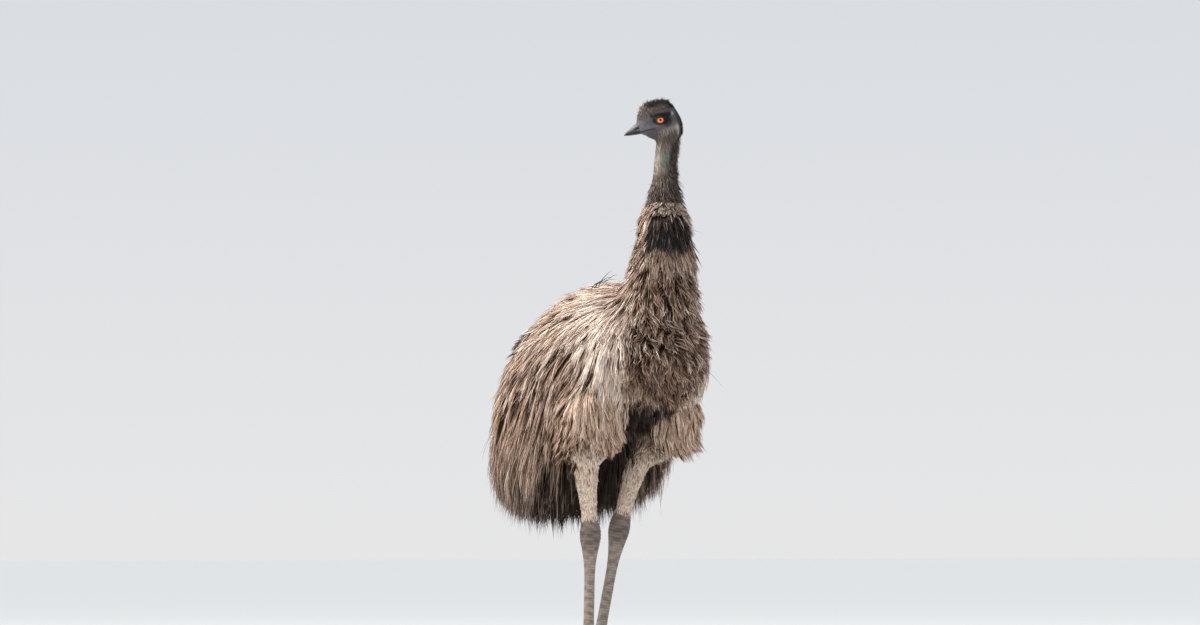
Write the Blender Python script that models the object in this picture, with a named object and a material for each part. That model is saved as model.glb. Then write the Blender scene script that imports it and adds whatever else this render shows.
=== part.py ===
"""A life-size standing emu, built as separate closed solids out to the tips of its plumage.

The bird's own frame is used while modelling: it faces -Y, its left side is +X, +Z is up and the
floor is Z = 0. Metres throughout. The last step shifts the whole bird sideways, so that the origin
is the middle of its footprint box on the floor.
"""

import math

import bmesh
import bpy
import numpy as np
from mathutils import Matrix, Vector

MM = 0.001
GAP = 0.4 * MM  # clearance between solids that meet

# Trunk: a plumage-covered egg measured in upright slices, from the breast to the hanging rump.
TRUNK_MIDDLE_Y = 0.031
TRUNK_HALF_LENGTH = 0.436
TRUNK_SIDES = 32
TRUNK_SLICES = 27
TAIL_CUT_DEG = 122  # slice angle at which the tail plumes are parted from the trunk
# slice angle (0 breast, 180 rump), top z, bottom z, z of the widest level, half-width
TRUNK_SLICE_TABLE = (
    (0, 0.985, 0.955, 0.970, 0.000),
    (22, 1.085, 0.850, 0.965, 0.130),
    (45, 1.140, 0.760, 0.940, 0.208),
    (70, 1.178, 0.680, 0.890, 0.250),
    (80, 1.178, 0.622, 0.860, 0.258),
    (90, 1.170, 0.532, 0.825, 0.262),
    (100, 1.142, 0.456, 0.790, 0.260),
    (112, 1.095, 0.420, 0.755, 0.249),
    (130, 1.003, 0.426, 0.710, 0.213),
    (150, 0.880, 0.462, 0.670, 0.152),
    (168, 0.765, 0.535, 0.655, 0.070),
    (180, 0.670, 0.630, 0.650, 0.000),
)
BELLY_SQUARENESS = 0.68  # 1 is an ellipse; less makes the plumage hang straighter down the sides

# Neck: round slices on a path from inside the breast to the skull.
# x, y, z of the path and the radius there, plumage included
NECK_PATH = (
    (0.000, -0.207, 0.990, 0.162),
    (0.000, -0.274, 1.095, 0.137),
    (0.000, -0.314, 1.200, 0.110),
    (0.000, -0.328, 1.270, 0.094),
    (0.000, -0.330, 1.340, 0.092),
    (0.000, -0.331, 1.380, 0.084),
    (0.000, -0.333, 1.406, 0.064),
    (-0.001, -0.3355, 1.430, 0.0485),
    (-0.002, -0.3350, 1.460, 0.0430),
    (-0.003, -0.3350, 1.500, 0.0376),
    (-0.0025, -0.3358, 1.536, 0.0354),
    (-0.001, -0.3400, 1.575, 0.0356),
    (0.002, -0.3455, 1.615, 0.0356),
)
NECK_SIDES = 18
NECK_SLICES = 24
NECK_SPLIT = 0.62  # share of the neck's path where the shaggy lower neck ends

# Head: slices across an axis that points along the gape. Heights are from the eyes' level.
HEAD_TURN_DEG = 120  # to the bird's right, from straight ahead
HEAD_PITCH_DEG = 12  # bill down
EYES_MIDDLE = Vector((-0.0170, -0.3275, 1.6725))
# mm forward of the eyes, crown height, throat depth, half-width, height of the widest level
HEAD_SLICE_TABLE = (
    (-66, -14, -22, 0, -18),
    (-63, 6, -42, 18, -17),
    (-55, 27, -58, 28, -13),
    (-42, 45, -68, 34, -9),
    (-24, 56, -71, 37, -5),
    (-4, 61, -69, 38, -1),
    (16, 62, -63, 36, 0),
    (36, 59, -53, 31, -2),
    (52, 51, -40, 25, -6),
    (62, 39, -32, 20, -10),
    (69, 17, -28, 17, -12),
)
HEAD_SIDES = 20
HEAD_SLICES = 15
GAPE_HEIGHT_MM = -23.3
BILL_ROOT_MM = 69.0
BILL_TIP_MM = 116.5
# share of the way from root to tip, culmen height above the gape (mm), half-width (mm)
UPPER_BILL_TABLE = (
    (0.00, 32.0, 17.0),
    (0.16, 27.0, 15.4),
    (0.35, 21.0, 13.0),
    (0.55, 15.4, 10.4),
    (0.80, 7.6, 7.2),
    (0.94, 3.8, 4.6),
    (1.00, 0.8, 0.8),
)
# the same for the lower bill, with its depth below the gape
LOWER_BILL_TABLE = (
    (0.00, 5.8, 16.2),
    (0.35, 5.4, 12.4),
    (0.65, 4.4, 9.2),
    (0.90, 2.6, 5.4),
    (1.00, 0.7, 0.8),
)
LOWER_BILL_SHORTFALL_MM = 4.0
EYEBALL_RADIUS = 18.0 * MM
EYE_OUT = 24.0 * MM  # eyeball centre, out from the middle of the head

# Wings: vestigial, lying flush in the flank plumage.
WING_MIDDLE = Vector((0.250, -0.085, 0.985))
WING_SIZE = Vector((0.050, 0.100, 0.055))
WING_TILT_DEG = -28

# Legs, right then left: places on the leg's line.
SIDES = {"R": -1, "L": 1}
THIGH_TOP = {"R": (-0.130, -0.135, 0.860), "L": (0.130, -0.095, 0.860)}
THIGH_MIDDLE = {"R": (-0.166, -0.172, 0.740), "L": (0.164, -0.108, 0.745)}
SHANK_TOP = {"R": (-0.118, -0.068, 0.625), "L": (0.118, -0.022, 0.630)}
HOCK = {"R": (-0.074, -0.036, 0.396), "L": (0.099, 0.049, 0.418)}
ANKLE = {"R": (-0.0715, -0.0205, 0.034), "L": (0.0805, 0.1455, 0.034)}
FOOT_TURN_DEG = {"R": 3, "L": -8}  # out from straight ahead, towards +X
# share along the thigh, radius
THIGH_TABLE = ((0.0, 0.110), (0.35, 0.116), (0.62, 0.108), (0.85, 0.084), (1.0, 0.046))
# share along the shank, half-depth, half-width
SHANK_TABLE = (
    (0.00, 0.050, 0.047),
    (0.30, 0.039, 0.036),
    (0.65, 0.028, 0.026),
    (0.85, 0.026, 0.026),
    (1.00, 0.031, 0.031),
)
# share along the shin from the hock down, half-depth, half-width
TARSUS_TABLE = (
    (0.00, 0.0325, 0.0320),
    (0.07, 0.0322, 0.0320),
    (0.15, 0.0262, 0.0268),
    (0.25, 0.0204, 0.0204),
    (0.60, 0.0166, 0.0164),
    (0.88, 0.0167, 0.0190),
    (1.00, 0.0200, 0.0235),
)
LEG_SIDES = 12

# Feet: a pad behind three forward toes, each ending in a claw.
PAD_MIDDLE_HEIGHT = 0.0175
PAD_RADIUS = (0.0265, 0.0300, 0.0280)  # across, along, up
FLAT_SOLE = 0.0  # the level of every sole
# turn out from the foot's line (towards the outer side), length, half-width at the root
TOES = {
    "inner": (-27, 0.088, 0.0125),
    "middle": (0, 0.138, 0.0160),
    "outer": (27, 0.094, 0.0130),
}
# share along the toe, half-width and height as shares of the root's
TOE_TABLE = (
    (0.00, 1.00, 1.00),
    (0.20, 0.92, 0.86),
    (0.32, 1.00, 0.84),
    (0.50, 0.86, 0.70),
    (0.62, 0.94, 0.70),
    (0.82, 0.76, 0.56),
    (1.00, 0.60, 0.47),
)
TOE_HEIGHT_PER_WIDTH = 2.05
TOE_SIDES = 10
CLAW_LENGTH_PER_TOE = 0.22
CLAW_SIDES = 8

COLOURS = {
    # name: linear colour, roughness
    "plumage": ((0.26, 0.19, 0.15), 0.90),
    "dark_plumage": ((0.055, 0.042, 0.038), 0.85),
    "face_skin": ((0.085, 0.095, 0.12), 0.60),
    "bill_horn": ((0.040, 0.040, 0.044), 0.38),
    "eye": ((0.55, 0.14, 0.03), 0.12),
    "leg_scales": ((0.16, 0.135, 0.125), 0.70),
    "claw_horn": ((0.035, 0.030, 0.028), 0.42),
}


def smooth_table(table, at):
    """The table's columns read at the places `at`, on a smooth cubic curve through its rows.

    The slope at a row is the mean slope of its two neighbours, as in a Catmull-Rom curve.
    """
    table = np.array(table, float)
    place, values = table[:, 0], table[:, 1:]
    slope = np.gradient(values, place, axis=0)
    at = np.clip(np.asarray(at, float), place[0], place[-1])
    left = np.clip(np.searchsorted(place, at, side="right") - 1, 0, len(place) - 2)
    span = (place[left + 1] - place[left])[:, None]
    t = ((at - place[left]) / span[:, 0])[:, None]
    rise = values[left + 1] - values[left]
    return (
        values[left]
        + rise * t * t * (3 - 2 * t)
        + span * t * (1 - t) * ((1 - t) * slope[left] - t * slope[left + 1])
    )


def even_angles(count):
    return np.arange(count) * 2 * math.pi / count


def power(value, exponent):
    """A signed power, which squares up or sharpens a circle."""
    return np.sign(value) * np.abs(value) ** exponent


def rounded_ends(count):
    """Shares from 0 to 1 that crowd at both ends, where a form closes."""
    return (1 - np.cos(np.linspace(0, math.pi, count))) / 2


def material(name):
    """A Principled material with the named colour and roughness, made once."""
    found = bpy.data.materials.get(name)
    if found is None:
        colour, roughness = COLOURS[name]
        found = bpy.data.materials.new(name)
        found.use_nodes = True
        shader = found.node_tree.nodes["Principled BSDF"]
        shader.inputs["Base Color"].default_value = (*colour, 1)
        shader.inputs["Roughness"].default_value = roughness
        shader.inputs["Metallic"].default_value = 0.0
    return found


def add_object(name, mesh, material_name, collection):
    obj = bpy.data.objects.new(name, mesh)
    mesh.materials.append(material(material_name))
    mesh.shade_smooth()
    mesh.set_sharp_from_angle(angle=math.radians(50))
    bpy.data.collections[collection].objects.link(obj)
    return obj


def loft(name, rings, material_name, collection="emu"):
    """A closed solid through rings of equal point count, with a cap on the first and last ring.

    A ring that has shrunk to a point is welded into a pole. The faces are cut into triangles here,
    so that a grown copy of the solid has the same facets as the solid.
    """
    count, sides = rings.shape[:2]
    index = np.arange(count * sides).reshape(count, sides)
    after = np.roll(index, -1, axis=1)
    quads = np.stack([index[:-1], after[:-1], after[1:], index[1:]], axis=-1).reshape(-1, 4)
    faces = quads.tolist() + [index[0, ::-1].tolist(), index[-1].tolist()]
    mesh = bpy.data.meshes.new(name)
    mesh.from_pydata(rings.reshape(-1, 3).tolist(), [], faces)
    shape = bmesh.new()
    shape.from_mesh(mesh)
    bmesh.ops.remove_doubles(shape, verts=shape.verts, dist=1e-5)
    bmesh.ops.triangulate(shape, faces=shape.faces)
    bmesh.ops.recalc_face_normals(shape, faces=shape.faces)
    shape.to_mesh(mesh)
    shape.free()
    return add_object(name, mesh, material_name, collection)


def grown_copy(obj, by):
    """A cutter: the object's finished shape, grown outwards by a clearance."""
    graph = bpy.context.evaluated_depsgraph_get()
    mesh = bpy.data.meshes.new_from_object(obj.evaluated_get(graph))
    shape = bmesh.new()
    shape.from_mesh(mesh)
    shape.normal_update()
    for vertex in shape.verts:
        vertex.co += vertex.normal * by
    shape.to_mesh(mesh)
    shape.free()
    return add_cutter(obj.name + "_cutter", mesh)


def add_cutter(name, mesh):
    cutter = bpy.data.objects.new(name, mesh)
    bpy.data.collections["cutters"].objects.link(cutter)
    cutter.hide_render = True
    cutter.display_type = "WIRE"
    return cutter


def boolean(obj, cutter, operation="DIFFERENCE"):
    """Cuts now, so that a later cutter can be made from the finished shape."""
    modifier = obj.modifiers.new(operation.lower(), "BOOLEAN")
    modifier.operation = operation
    modifier.object = cutter
    bpy.context.view_layer.update()
    graph = bpy.context.evaluated_depsgraph_get()
    mesh = bpy.data.meshes.new_from_object(obj.evaluated_get(graph))
    obj.modifiers.remove(modifier)
    obj.data = mesh


def clear_of(obj, *neighbours):
    """Cuts the neighbours out of the object, and drops crumbs that a cut leaves behind them."""
    for neighbour in neighbours:
        boolean(obj, grown_copy(neighbour, GAP))
    shape = bmesh.new()
    shape.from_mesh(obj.data)
    islands = []
    left = set(shape.verts)
    while left:
        island = {left.pop()}
        edge = list(island)
        while edge:
            vertex = edge.pop()
            new = {e.other_vert(vertex) for e in vertex.link_edges} & left
            left -= new
            island |= new
            edge.extend(new)
        islands.append(island)
    islands.sort(key=len)
    crumbs = [v for island in islands[:-1] for v in island]
    bmesh.ops.delete(shape, geom=crumbs, context="VERTS")
    shape.to_mesh(obj.data)
    shape.free()


def trunk_rings(from_deg, to_deg, count):
    """Upright slices of the trunk: each is two half-ellipses that share the widest level."""
    angles = np.linspace(from_deg, to_deg, count)
    top, bottom, widest, half = smooth_table(TRUNK_SLICE_TABLE, angles).T[:, :, None]
    y = TRUNK_MIDDLE_Y - TRUNK_HALF_LENGTH * np.cos(np.radians(angles))[:, None]
    turn = even_angles(TRUNK_SIDES)[None]
    rise = np.sin(turn)
    up = np.maximum(rise, 0) * (top - widest)
    down = np.maximum(-rise, 0) ** BELLY_SQUARENESS * (widest - bottom)
    x = np.maximum(half, 0) * power(np.cos(turn), np.where(rise < 0, BELLY_SQUARENESS, 1.0))
    return np.stack([x, np.broadcast_to(y, x.shape), widest + up - down], axis=-1)


def build_trunk():
    """Trunk and tail share one outline, parted by a thin upright cut."""
    cut_share = TAIL_CUT_DEG / 180
    slices = round(TRUNK_SLICES * cut_share)
    gap_deg = math.degrees(GAP / TRUNK_HALF_LENGTH)
    trunk = loft("trunk", trunk_rings(0, TAIL_CUT_DEG, slices), "plumage")
    loft("tail", trunk_rings(TAIL_CUT_DEG + gap_deg, 180, TRUNK_SLICES - slices), "plumage")
    return trunk


def build_wings(trunk):
    """Each wing is the flank's own surface inside an egg-shaped cut."""
    for side, sign in SIDES.items():
        place = Matrix.Translation(Vector((sign, 1, 1)) * WING_MIDDLE)
        place @= Matrix.Rotation(math.radians(WING_TILT_DEG), 4, "X")
        eggs = []
        for name, margin in (("pocket", 0.0), ("egg", -GAP)):
            shape = bmesh.new()
            bmesh.ops.create_uvsphere(shape, u_segments=16, v_segments=8, radius=1.0)
            size = WING_SIZE + Vector((margin,) * 3)
            bmesh.ops.transform(shape, matrix=place @ Matrix.Diagonal(size).to_4x4(), verts=shape.verts)
            mesh = bpy.data.meshes.new(f"wing_{name}_{side}")
            shape.to_mesh(mesh)
            shape.free()
            eggs.append(add_cutter(mesh.name, mesh))
        pocket, egg = eggs
        wing = add_object(f"wing_{side}", trunk.data.copy(), "plumage", "emu")
        boolean(wing, egg, "INTERSECT")
        boolean(trunk, pocket)


def path_frames(path):
    """For each point of a path: its direction, and two directions square to it (side and front)."""
    direction = np.gradient(path, axis=0)
    direction /= np.linalg.norm(direction, axis=1)[:, None]
    side = np.cross(direction, [0.0, 1.0, 0.0])
    side /= np.linalg.norm(side, axis=1)[:, None]
    return direction, side, np.cross(side, direction)


def tube_rings(path, half_side, half_front, sides):
    """Elliptical rings square to a path."""
    _, side, front = path_frames(path)
    turn = even_angles(sides)[None, :, None]
    return (
        path[:, None]
        + np.cos(turn) * side[:, None] * half_side[:, None, None]
        + np.sin(turn) * front[:, None] * half_front[:, None, None]
    )


def neck_table():
    """The neck's rows with their share of its length in front."""
    rows = np.array(NECK_PATH)
    steps = np.linalg.norm(np.diff(rows[:, :3], axis=0), axis=1)
    share = np.concatenate([[0], np.cumsum(steps)]) / steps.sum()
    return np.column_stack([share, rows]), steps.sum()


def build_neck(trunk, head):
    """One tube, parted by a thin cut where the shaggy lower neck ends."""
    table, length = neck_table()
    half = NECK_SLICES // 2
    share = np.concatenate(
        [np.linspace(0, NECK_SPLIT, half), np.linspace(NECK_SPLIT + GAP / length, 1, half)]
    )
    rows = smooth_table(table, share)
    rings = tube_rings(rows[:, :3], rows[:, 3], rows[:, 3], NECK_SIDES)
    rings[half] = rings[half - 1] + path_frames(rows[:, :3])[0][half - 1] * GAP
    lower = loft("neck_lower", rings[:half], "plumage")
    upper = loft("neck_upper", rings[half:], "dark_plumage")
    clear_of(lower, trunk)
    clear_of(upper, head)


def head_axes():
    """The head's forward, left and up directions."""
    turn, pitch = math.radians(HEAD_TURN_DEG), math.radians(HEAD_PITCH_DEG)
    level = Vector((-math.sin(turn), -math.cos(turn), 0))
    left = Vector((-level.y, level.x, 0))
    forward = level * math.cos(pitch) - Vector((0, 0, 1)) * math.sin(pitch)
    return forward, left, forward.cross(left)


def head_place(forward_mm, left_mm, up_mm):
    """Places given in mm in the head's own axes, from the middle of the eyes."""
    forward, left, up = (np.array(a) for a in head_axes())
    parts = (forward_mm, left_mm, up_mm)
    scaled = [np.asarray(p, float)[..., None] * MM for p in parts]
    return np.array(EYES_MIDDLE) + scaled[0] * forward + scaled[1] * left + scaled[2] * up


def build_head():
    first, last = HEAD_SLICE_TABLE[0][0], HEAD_SLICE_TABLE[-1][0]
    quarter = 1 - np.cos(np.linspace(0, math.pi / 2, HEAD_SLICES))  # crowds at the back of the head
    at = first + (last - first) * quarter
    at[-1] = last - GAP / MM
    top, bottom, half, widest = smooth_table(HEAD_SLICE_TABLE, at).T[:, :, None]
    turn = even_angles(HEAD_SIDES)[None]
    up = widest + np.maximum(np.sin(turn), 0) * (top - widest)
    up = up - np.maximum(-np.sin(turn), 0) * (widest - bottom)
    left = np.maximum(half, 0) * np.cos(turn)
    forward = np.broadcast_to(at[:, None], left.shape)
    return loft("head", head_place(forward, left, up), "face_skin")


def bill_rings(table, tip_mm, rising, slices=9, sides=12):
    """Half-oval slices on the flat gape, above it or below it."""
    share = np.sin(np.linspace(0, math.pi / 2, slices))  # crowds at the tip
    height, half = smooth_table(table, share).T[:, :, None]
    turn = even_angles(sides)[None]
    gape_gap = GAP / MM / 2
    lift = gape_gap + np.maximum(np.sin(turn), 0) * (height - gape_gap)
    up = GAPE_HEIGHT_MM + (lift if rising else -lift)
    forward = BILL_ROOT_MM + share[:, None] * (tip_mm - BILL_ROOT_MM)
    left = half * np.cos(turn)
    return head_place(np.broadcast_to(forward, left.shape), left, np.broadcast_to(up, left.shape))


def build_bill():
    loft("bill_upper", bill_rings(UPPER_BILL_TABLE, BILL_TIP_MM, True), "bill_horn")
    tip = BILL_TIP_MM - LOWER_BILL_SHORTFALL_MM
    loft("bill_lower", bill_rings(LOWER_BILL_TABLE, tip, False), "bill_horn")


def build_eyes(head):
    """Whole eyeballs in sockets of the head."""
    _, left, _ = head_axes()
    for side, sign in SIDES.items():
        shape = bmesh.new()
        bmesh.ops.create_uvsphere(shape, u_segments=14, v_segments=8, radius=EYEBALL_RADIUS)
        centre = EYES_MIDDLE + left * (sign * EYE_OUT)
        bmesh.ops.translate(shape, vec=centre, verts=shape.verts)
        mesh = bpy.data.meshes.new(f"eye_{side}")
        shape.to_mesh(mesh)
        shape.free()
        eye = add_object(f"eye_{side}", mesh, "eye", "emu")
        clear_of(head, eye)


def curve_through(points, count):
    """A smooth curve through three places, as a quadratic that passes the middle one halfway."""
    first, middle, last = (np.array(p) for p in points)
    control = 2 * middle - (first + last) / 2
    t = np.linspace(0, 1, count)[:, None]
    return (1 - t) ** 2 * first + 2 * t * (1 - t) * control + t * t * last


def straight(first, last, count):
    return np.linspace(np.array(first), np.array(last), count)


def shortened(first, last, by):
    """The last place pulled back towards the first."""
    first, last = Vector(first), Vector(last)
    return last - (last - first).normalized() * by


def build_leg(side, trunk):
    """Thigh plumage, shank to the hock, scaled shin, pad, toes and claws of one leg."""
    thigh_path = curve_through((THIGH_TOP[side], THIGH_MIDDLE[side], SHANK_TOP[side]), 11)
    radius = smooth_table(THIGH_TABLE, np.linspace(0, 1, len(thigh_path)))[:, 0]
    thigh = loft(f"thigh_{side}", tube_rings(thigh_path, radius, radius, 20), "plumage")

    shank_path = straight(SHANK_TOP[side], HOCK[side], 8)
    depth, width = smooth_table(SHANK_TABLE, np.linspace(0, 1, len(shank_path))).T
    shank = loft(f"shank_{side}", tube_rings(shank_path, width, depth, LEG_SIDES), "plumage")

    tarsus_path = straight(HOCK[side], ANKLE[side], 12)
    depth, width = smooth_table(TARSUS_TABLE, np.linspace(0, 1, len(tarsus_path))).T
    tarsus = loft(f"tarsus_{side}", tube_rings(tarsus_path, width, depth, LEG_SIDES), "leg_scales")

    foot, toes = build_foot(side)
    clear_of(thigh, trunk)
    clear_of(shank, trunk, thigh, tarsus)
    clear_of(tarsus, foot)
    return foot, toes


def flat_soled(shape_rings):
    """Rings with everything under the sole's level pressed flat onto it."""
    flat = shape_rings.copy()
    flat[..., 2] = np.maximum(flat[..., 2], FLAT_SOLE)
    return flat


def foot_direction(side, turn_out_deg):
    turn = math.radians(FOOT_TURN_DEG[side] + SIDES[side] * turn_out_deg)
    return np.array((math.sin(turn), -math.cos(turn), 0.0))


def toe_rings(root, direction, length, half_width):
    """Level toe with knuckle swellings, resting on its flat sole."""
    across = np.cross(direction, [0.0, 0.0, 1.0])
    share = np.linspace(0, 1, 11)
    width_share, height_share = smooth_table(TOE_TABLE, share).T
    width = half_width * width_share[:, None]
    height = half_width * TOE_HEIGHT_PER_WIDTH * height_share[:, None]
    turn = even_angles(TOE_SIDES)[None]
    lift = height * (0.36 + 0.64 * np.sin(turn))
    rings = root + share[:, None, None] * direction * length
    rings = rings + np.cos(turn)[..., None] * width[..., None] * across
    return flat_soled(rings + lift[..., None] * np.array((0.0, 0.0, 1.0)))


def claw_rings(root, direction, length, half_width, height):
    """A tapering claw that bends down until its point is just above the floor."""
    across = np.cross(direction, [0.0, 0.0, 1.0])
    share = np.linspace(0, 1, 5)[:, None]
    turn = even_angles(CLAW_SIDES)[None]
    taper = np.sqrt(1 - 0.985 * share**1.6)
    centre_height = height * (0.52 - 0.36 * share**1.5)
    rings = root + share[..., None] * direction * length
    rings = rings + (np.cos(turn) * half_width * taper)[..., None] * across
    lift = centre_height + np.sin(turn) * 0.40 * height * taper
    return flat_soled(rings + lift[..., None] * np.array((0.0, 0.0, 1.0)))


def build_foot(side):
    ahead = foot_direction(side, 0)
    ground = np.array(ANKLE[side]) * (1, 1, 0)
    across = np.cross(ahead, [0.0, 0.0, 1.0])
    angle = even_angles(10)[None, :]
    share = rounded_ends(7)[:, None]
    reach = np.sin(np.arccos(1 - 2 * share))
    rings = (
        ground
        + ahead * ((2 * share - 1) * PAD_RADIUS[1])[..., None]
        + across * (np.cos(angle) * reach * PAD_RADIUS[0])[..., None]
    )
    lift = PAD_MIDDLE_HEIGHT + np.sin(angle) * reach * PAD_RADIUS[2]
    foot = loft(f"foot_{side}", flat_soled(rings + lift[..., None] * (0, 0, 1)), "leg_scales")
    toes = {}
    for name, (turn_out, length, half_width) in TOES.items():
        direction = foot_direction(side, turn_out)
        root = ground + ahead * 0.012
        rings = toe_rings(root, direction, length, half_width)
        toes[name] = loft(f"toe_{name}_{side}", rings, "leg_scales")
        claw_root = root + direction * (length + GAP)
        tip_width, tip_height = TOE_TABLE[-1][1:]
        claw = claw_rings(
            claw_root,
            direction,
            length * CLAW_LENGTH_PER_TOE,
            half_width * tip_width * 0.82,
            half_width * TOE_HEIGHT_PER_WIDTH * tip_height * 0.92,
        )
        loft(f"claw_{name}_{side}", claw, "claw_horn")
    clear_of(toes["middle"], foot)
    for name in ("inner", "outer"):
        clear_of(toes[name], foot, toes["middle"])
    return foot, toes


def centre_on_origin():
    """Moves the bird sideways until the middle of its box is over the origin."""
    parts = [o for o in bpy.data.collections["emu"].objects]
    corners = np.array([o.matrix_world @ Vector(c) for o in parts for c in o.bound_box])
    middle = (corners.min(axis=0) + corners.max(axis=0)) / 2
    for obj in parts:
        obj.data.transform(Matrix.Translation((-middle[0], -middle[1], 0)))
    print("moved by", -middle[0], -middle[1])


def main():
    for obj in list(bpy.data.objects):
        bpy.data.objects.remove(obj)
    for name in ("emu", "cutters"):
        bpy.context.scene.collection.children.link(bpy.data.collections.new(name))
    trunk = build_trunk()
    build_wings(trunk)
    head = build_head()
    build_bill()
    build_eyes(head)
    build_neck(trunk, head)
    for side in SIDES:
        build_leg(side, trunk)
    for cutter in list(bpy.data.collections["cutters"].objects):
        bpy.data.objects.remove(cutter)
    centre_on_origin()


main()
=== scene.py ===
# %% [markdown]
# # A standing emu, life size
# An emu is a flightless bird as tall as a person. Its feathers are long, loose and hair-like, so
# the body reads as a shaggy mound with two scaled legs under it and a thin neck above. The packed
# solids give its outline out to the tips of the plumage. Everything seen is built here: one skin
# that lies inside the solids by the depth of the coat, the eyes, bill, claws and scales, and tens
# of thousands of narrow locks of feather rooted on that skin.

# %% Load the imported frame
import math

import bpy
import numpy as np
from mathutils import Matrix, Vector
from mathutils.kdtree import KDTree


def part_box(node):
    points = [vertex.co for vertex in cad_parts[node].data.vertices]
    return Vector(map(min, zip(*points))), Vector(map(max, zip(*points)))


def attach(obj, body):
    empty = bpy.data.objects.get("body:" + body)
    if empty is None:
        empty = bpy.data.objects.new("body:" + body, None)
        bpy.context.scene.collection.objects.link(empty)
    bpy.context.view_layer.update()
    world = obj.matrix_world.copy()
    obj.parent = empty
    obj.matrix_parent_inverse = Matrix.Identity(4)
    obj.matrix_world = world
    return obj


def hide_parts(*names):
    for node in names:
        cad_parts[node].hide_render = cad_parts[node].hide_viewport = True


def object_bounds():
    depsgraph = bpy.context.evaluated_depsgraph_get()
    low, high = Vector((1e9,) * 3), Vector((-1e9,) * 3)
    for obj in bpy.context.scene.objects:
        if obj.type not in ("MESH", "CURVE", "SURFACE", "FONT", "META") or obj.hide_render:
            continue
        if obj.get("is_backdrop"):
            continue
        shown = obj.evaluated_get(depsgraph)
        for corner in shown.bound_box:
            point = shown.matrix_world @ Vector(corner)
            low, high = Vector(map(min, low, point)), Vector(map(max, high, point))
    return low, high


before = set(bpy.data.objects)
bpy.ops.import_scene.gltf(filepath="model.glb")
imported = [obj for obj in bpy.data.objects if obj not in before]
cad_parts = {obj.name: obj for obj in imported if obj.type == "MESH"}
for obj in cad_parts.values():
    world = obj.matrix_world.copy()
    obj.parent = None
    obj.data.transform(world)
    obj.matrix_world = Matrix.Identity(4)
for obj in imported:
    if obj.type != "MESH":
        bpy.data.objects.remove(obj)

CAD_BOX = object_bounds()
MM = 0.001
print("solids' box, m:", [[round(float(v), 3) for v in corner] for corner in CAD_BOX])

# %% [markdown]
# ## Where things are
# The bird is described in its own frame: it faces -Y, its left is +X, the floor is z = 0 and the
# spine lies over x = 0. The row's origin is under the middle of the bird's box, a little way off,
# so one fixed step takes the bird's frame to the row's. It is measured from the trunk's solid,
# whose breast tip is known to lie 0.405 m ahead of the bird's own origin.

# %% The step from the bird's frame to the row's
BREAST_TIP_Y = -0.405
trunk_low, trunk_high = (np.array(c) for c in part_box("trunk"))
HOME = np.array([(trunk_low[0] + trunk_high[0]) / 2, trunk_low[1] - BREAST_TIP_Y, 0.0])
print("step to the row's frame, mm:", np.round(HOME * 1000, 2))

# %% [markdown]
# ## Small helpers
# Colours are written as sRGB hex codes, as a painter would pick them, and turned to the linear
# values that Blender's nodes expect. `ramp` is a smooth step, and `smooth_table` reads a short
# table of measurements on a smooth curve.

# %% Helpers for colour and curves
def linear(code):
    """sRGB hex to linear: divide by 12.92 below 0.04045, else ((c + 0.055) / 1.055) ** 2.4."""
    part = np.array([int(code[i : i + 2], 16) for i in (1, 3, 5)]) / 255
    return np.where(part <= 0.04045, part / 12.92, ((part + 0.055) / 1.055) ** 2.4)


def ramp(value, start, end):
    """0 at start, 1 at end, and t * t * (3 - 2 t) between them."""
    t = np.clip((np.asarray(value, float) - start) / (end - start), 0, 1)
    return t * t * (3 - 2 * t)


def fall(value, start, end):
    """1 at start, 0 at end: what `ramp` leaves over."""
    return 1 - ramp(value, start, end)


def smooth_table(table, at):
    """The columns of a table at places `at`: a cubic through its rows with Catmull-Rom slopes."""
    table = np.array(table, float)
    place, values = table[:, 0], table[:, 1:]
    slope = np.gradient(values, place, axis=0)
    at = np.clip(np.asarray(at, float), place[0], place[-1])
    left = np.clip(np.searchsorted(place, at, side="right") - 1, 0, len(place) - 2)
    span = (place[left + 1] - place[left])[:, None]
    t = ((at - place[left]) / span[:, 0])[:, None]
    rise = values[left + 1] - values[left]
    return (
        values[left]
        + rise * t * t * (3 - 2 * t)
        + span * t * (1 - t) * ((1 - t) * slope[left] - t * slope[left + 1])
    )


def unit(vectors):
    """Vectors scaled to length 1."""
    return vectors / np.maximum(np.linalg.norm(vectors, axis=-1, keepdims=True), 1e-12)


def bell(value, middle, width):
    """1 at the middle, falling to exp(-1) at `width` from it on both sides."""
    return np.exp(-(((value - middle) / width) ** 2))


def mix(a, b, share):
    """a where share is 0, b where it is 1, over the last axis. A colour may be a hex code."""
    a, b = (linear(c) if isinstance(c, str) else np.asarray(c) for c in (a, b))
    share = np.asarray(share, float)[..., None]
    return a * (1 - share) + b * share


def turns(count):
    """Even angles round a circle."""
    return np.arange(count) * 2 * math.pi / count


def net(along, columns):
    """A tube's value along it and angle round it, both for every point."""
    return np.meshgrid(along, turns(columns), indexing="ij")


def axes(P):
    """The three coordinates of places, each as its own array."""
    return np.moveaxis(P, -1, 0)


def waves(P, size, seed):
    """Smooth noise from -1 to 1: a mean of sines that run in random directions, `size` apart."""
    rng = np.random.default_rng(seed)
    total = 0.0
    for _ in range(6):
        direction = rng.normal(size=3)
        direction *= 2 * math.pi / size / np.linalg.norm(direction) * rng.uniform(0.7, 1.4)
        total = total + np.sin(P @ direction + rng.uniform(0, 2 * math.pi))
    return total / 6 * 1.6


# %% [markdown]
# ## The camera
# A long lens, far away and near the ground, looks at the bird's front right quarter. The camera
# comes first, so that every later piece can be judged through it.

# %% Camera
def level_way(angle):
    """The level direction at an angle from straight ahead, -Y, towards the bird's left."""
    return np.array([math.sin(angle), -math.cos(angle), 0.0])


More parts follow.
